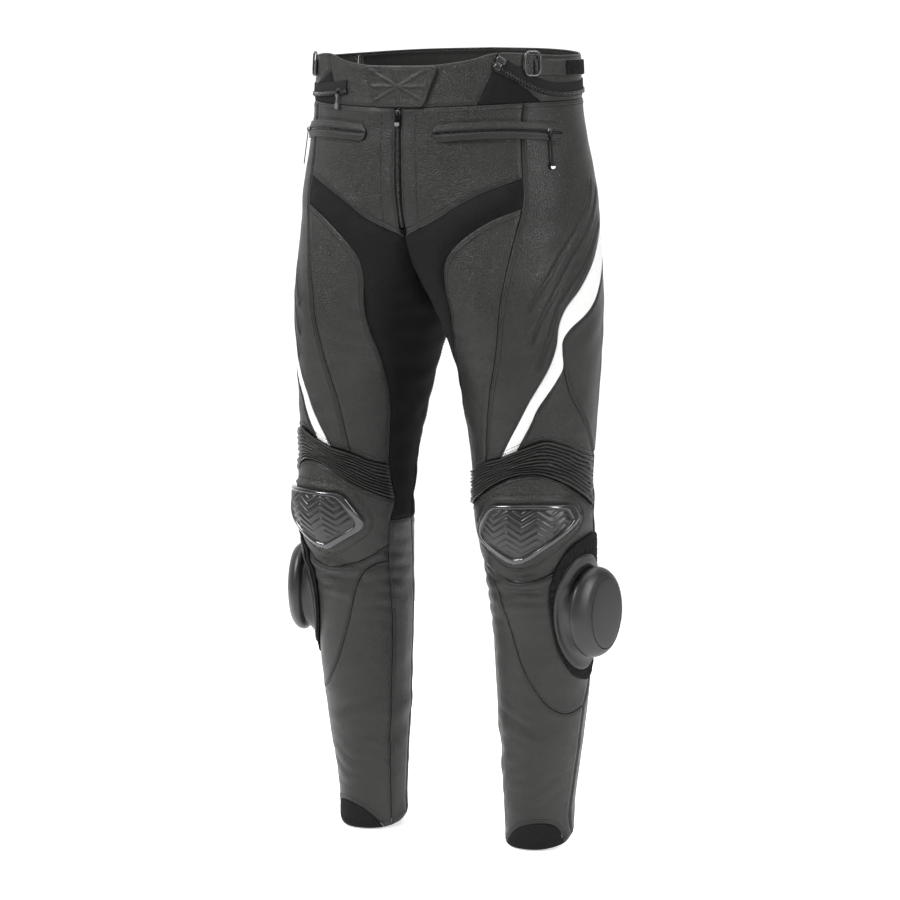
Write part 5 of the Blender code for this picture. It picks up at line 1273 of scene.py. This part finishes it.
# ---- Seam allowances ----
# Behind every seam the two edges are turned in and glued flat, as a doubled strip of hide. They
# close the seams to light from inside.
ALLOWANCE_SECTION = [(-0.0050, -0.0046), (-0.0050, -0.0036), (0.0050, -0.0036), (0.0050, -0.0046)]
allowance_points, allowance_faces, allowance_count = [], [], 0
for seam in ("band_bottom", "front_side", "stretch_top", "stretch_edge", "side_back", "flash_front", "flash_back",
             "lower_side", "knee_top", "rib_bottom", "under_knee", "knee_outer", "inner_front", "inner_rear",
             "inner_back", "shin_curve", "calf_outer", "shin_outer", "hem_arch", "back_knee_top", "back_knee_bottom"):
    centres, across, normals, _ = along_form(seam_run(seam, 0, len(SEAMS[seam]) - 1, 0.008)[1:-1], 0.008)
    points, faces = band_solid(centres, across, normals, ALLOWANCE_SECTION)
    allowance_points.append(points)
    allowance_faces.append(faces + allowance_count)
    allowance_count += len(points)
both_sides("seam_allowance", np.vstack(allowance_points), np.vstack(allowance_faces), [black_hide], "leather")

# ---- Topstitching ----
# Bonded black thread: lockstitches 3.4 mm apart, each a short rounded bar that dips into the hide
# at both ends. Rows run beside the seams, singly or in pairs, and round the pockets and the cups.
STITCH_PITCH, STITCH_HALF, THREAD_HALF = 0.0035, 0.00135, 0.00040
# Rows as (seam, first point, last point, offsets to the left of the seam's own direction)
STITCH_ROWS = [
    ("band_bottom", 2, 10, (-0.0029, -0.0062)), ("front_side", 0, 8, (0.0029, 0.0062)),
    ("stretch_top", 0, 4, (-0.0029, -0.0060)), ("stretch_edge", 0, 11, (0.0029, 0.0060)),
    ("side_back", 0, 2, (0.0029, 0.0062)), ("side_back", 3, 6, (0.0029, 0.0062)), ("flash_front", 0, 11, (-0.0029,)),
    ("flash_back", 0, 12, (0.0029,)), ("lower_side", 0, 4, (0.0029, 0.0062)), ("knee_top", 1, 10, (-0.0029, -0.0062)),
    ("rib_bottom", 0, 8, (0.0029, 0.0058)), ("under_knee", 0, 7, (-0.0029,)), ("knee_outer", 0, 3, (0.0029,)),
    ("inner_front", 2, 10, (0.0029,)), ("inner_rear", 1, 7, (-0.0029, -0.0062)), ("inner_back", 0, 6, (-0.0029,)),
    ("centre_back", 0, 5, (-0.0029, -0.0062)), ("fly_edge", 0, 3, (0.0029, 0.0165)), ("shin_curve", 0, 10, (0.0029,)),
    ("calf_outer", 0, 4, (0.0029,)), ("shin_outer", 0, 4, (0.0029,)), ("hem_arch", 0, 6, (0.0029, 0.0058)),
    ("hem_front", 0, 6, (0.0075,)), ("hem_back", 0, 4, (0.0075,)), ("hem_inner", 0, 2, (0.0075,)),
    ("back_knee_top", 0, 4, (0.0029, 0.0062)), ("back_knee_bottom", 0, 4, (-0.0029, -0.0062)),
    ("band_top", 0, 8, (-0.0029,)), ("band_end", 0, 2, (-0.0029,)), ("wedge_top", 0, 2, (0.0029,)),
    ("band_split", 0, 1, (-0.0029,)),
]
# A stitch's rings: place along it, thickness and level, as shares of its half length and the thread
STITCH_RINGS = np.array([(-1.0, 0.45, -0.55), (-0.62, 0.95, 0.30), (0.62, 0.95, 0.30), (1.0, 0.45, -0.55)])


def stitch_row(line, level, point=leg_point, trim=0.0022):
    """Places, directions and normals of the stitches along a pattern line, at a level over the form."""
    flat = flatten(line)
    arc = np.concatenate([[0.0], np.cumsum(np.linalg.norm(np.diff(flat, axis=0), axis=1))])
    count = max(2, int((arc[-1] - 2 * trim) / STITCH_PITCH))
    at = trim + (np.arange(count) + 0.5) * (arc[-1] - 2 * trim) / count
    pattern = np.stack([np.interp(at, arc, line[:, 0]), np.interp(at, arc, line[:, 1])], axis=1)
    form = point(pattern[:, 0], pattern[:, 1])
    normals = outward(point, pattern[:, 0], pattern[:, 1])
    ahead = np.gradient(form, axis=0)
    ahead /= np.linalg.norm(ahead, axis=1, keepdims=True)
    return form + normals * (undulation(form) + level)[:, None], ahead, normals


def stitch_solids(rows):
    """All stitches of many rows as one mesh: four rings of three points for each stitch, with closed ends."""
    places, ahead, normals = (np.concatenate(part) for part in zip(*rows))
    across = np.cross(normals, ahead)
    turn = np.radians([90.0, 210.0, 330.0])
    along = STITCH_RINGS[:, 0] * STITCH_HALF
    thick = STITCH_RINGS[:, 1:2] * THREAD_HALF
    side = thick * np.cos(turn)
    lift = thick * np.sin(turn) + STITCH_RINGS[:, 2:3] * THREAD_HALF
    points = (places[:, None, None] + ahead[:, None, None] * along[None, :, None, None]
              + across[:, None, None] * side[None, :, :, None] + normals[:, None, None] * lift[None, :, :, None])
    quads = grid_faces(4, 3, wrap=True)
    solid = np.vstack([quads[:, [0, 1, 2]], quads[:, [0, 2, 3]], [(2, 1, 0), (9, 10, 11)]])
    faces = solid[None] + 12 * np.arange(len(places))[:, None, None]
    return points.reshape(-1, 3), faces.reshape(-1, 3)


thread = moulded_material("bonded_black_thread", (0.005, 0.005, 0.005), 0.60, 0.0, 0.0, 0.5)
thread.node_tree.nodes["Principled BSDF"].inputs["Specular IOR Level"].default_value = 0.2
rows = []
for seam, first, last, offsets in STITCH_ROWS:
    run = seam_run(seam, first, last)
    for offset in offsets:
        moved = offset_line(run, offset)
        rows.append(stitch_row(moved, float(seam_relief(np.array([abs(offset)]))[0]) + 0.0001))
for distance, level in ((-0.0098, -0.0002), (-0.0126, 0.0000)):
    closed_cup = np.vstack([cup_outline, cup_outline[:1]])
    rows.append(stitch_row(offset_line(closed_cup, distance), level, trim=0.0))
pocket_line = smooth_line(POCKET_PATH, 0.003)
for offset in (0.0137, -0.0137):
    rows.append(stitch_row(offset_line(pocket_line, offset), 0.0001, trim=0.006))
points, faces = stitch_solids(rows)
both_sides("topstitching", points, faces, [thread], "zip")
back_edge = np.vstack([back_low, (mirror_turn + back_low * (-1, 1))[::-1][1:]])
points, faces = stitch_solids([stitch_row(offset_line(back_edge, 0.0029), 0.0, waist_point)])
build("back_waistband_topstitching", points, faces, [thread], "zip")
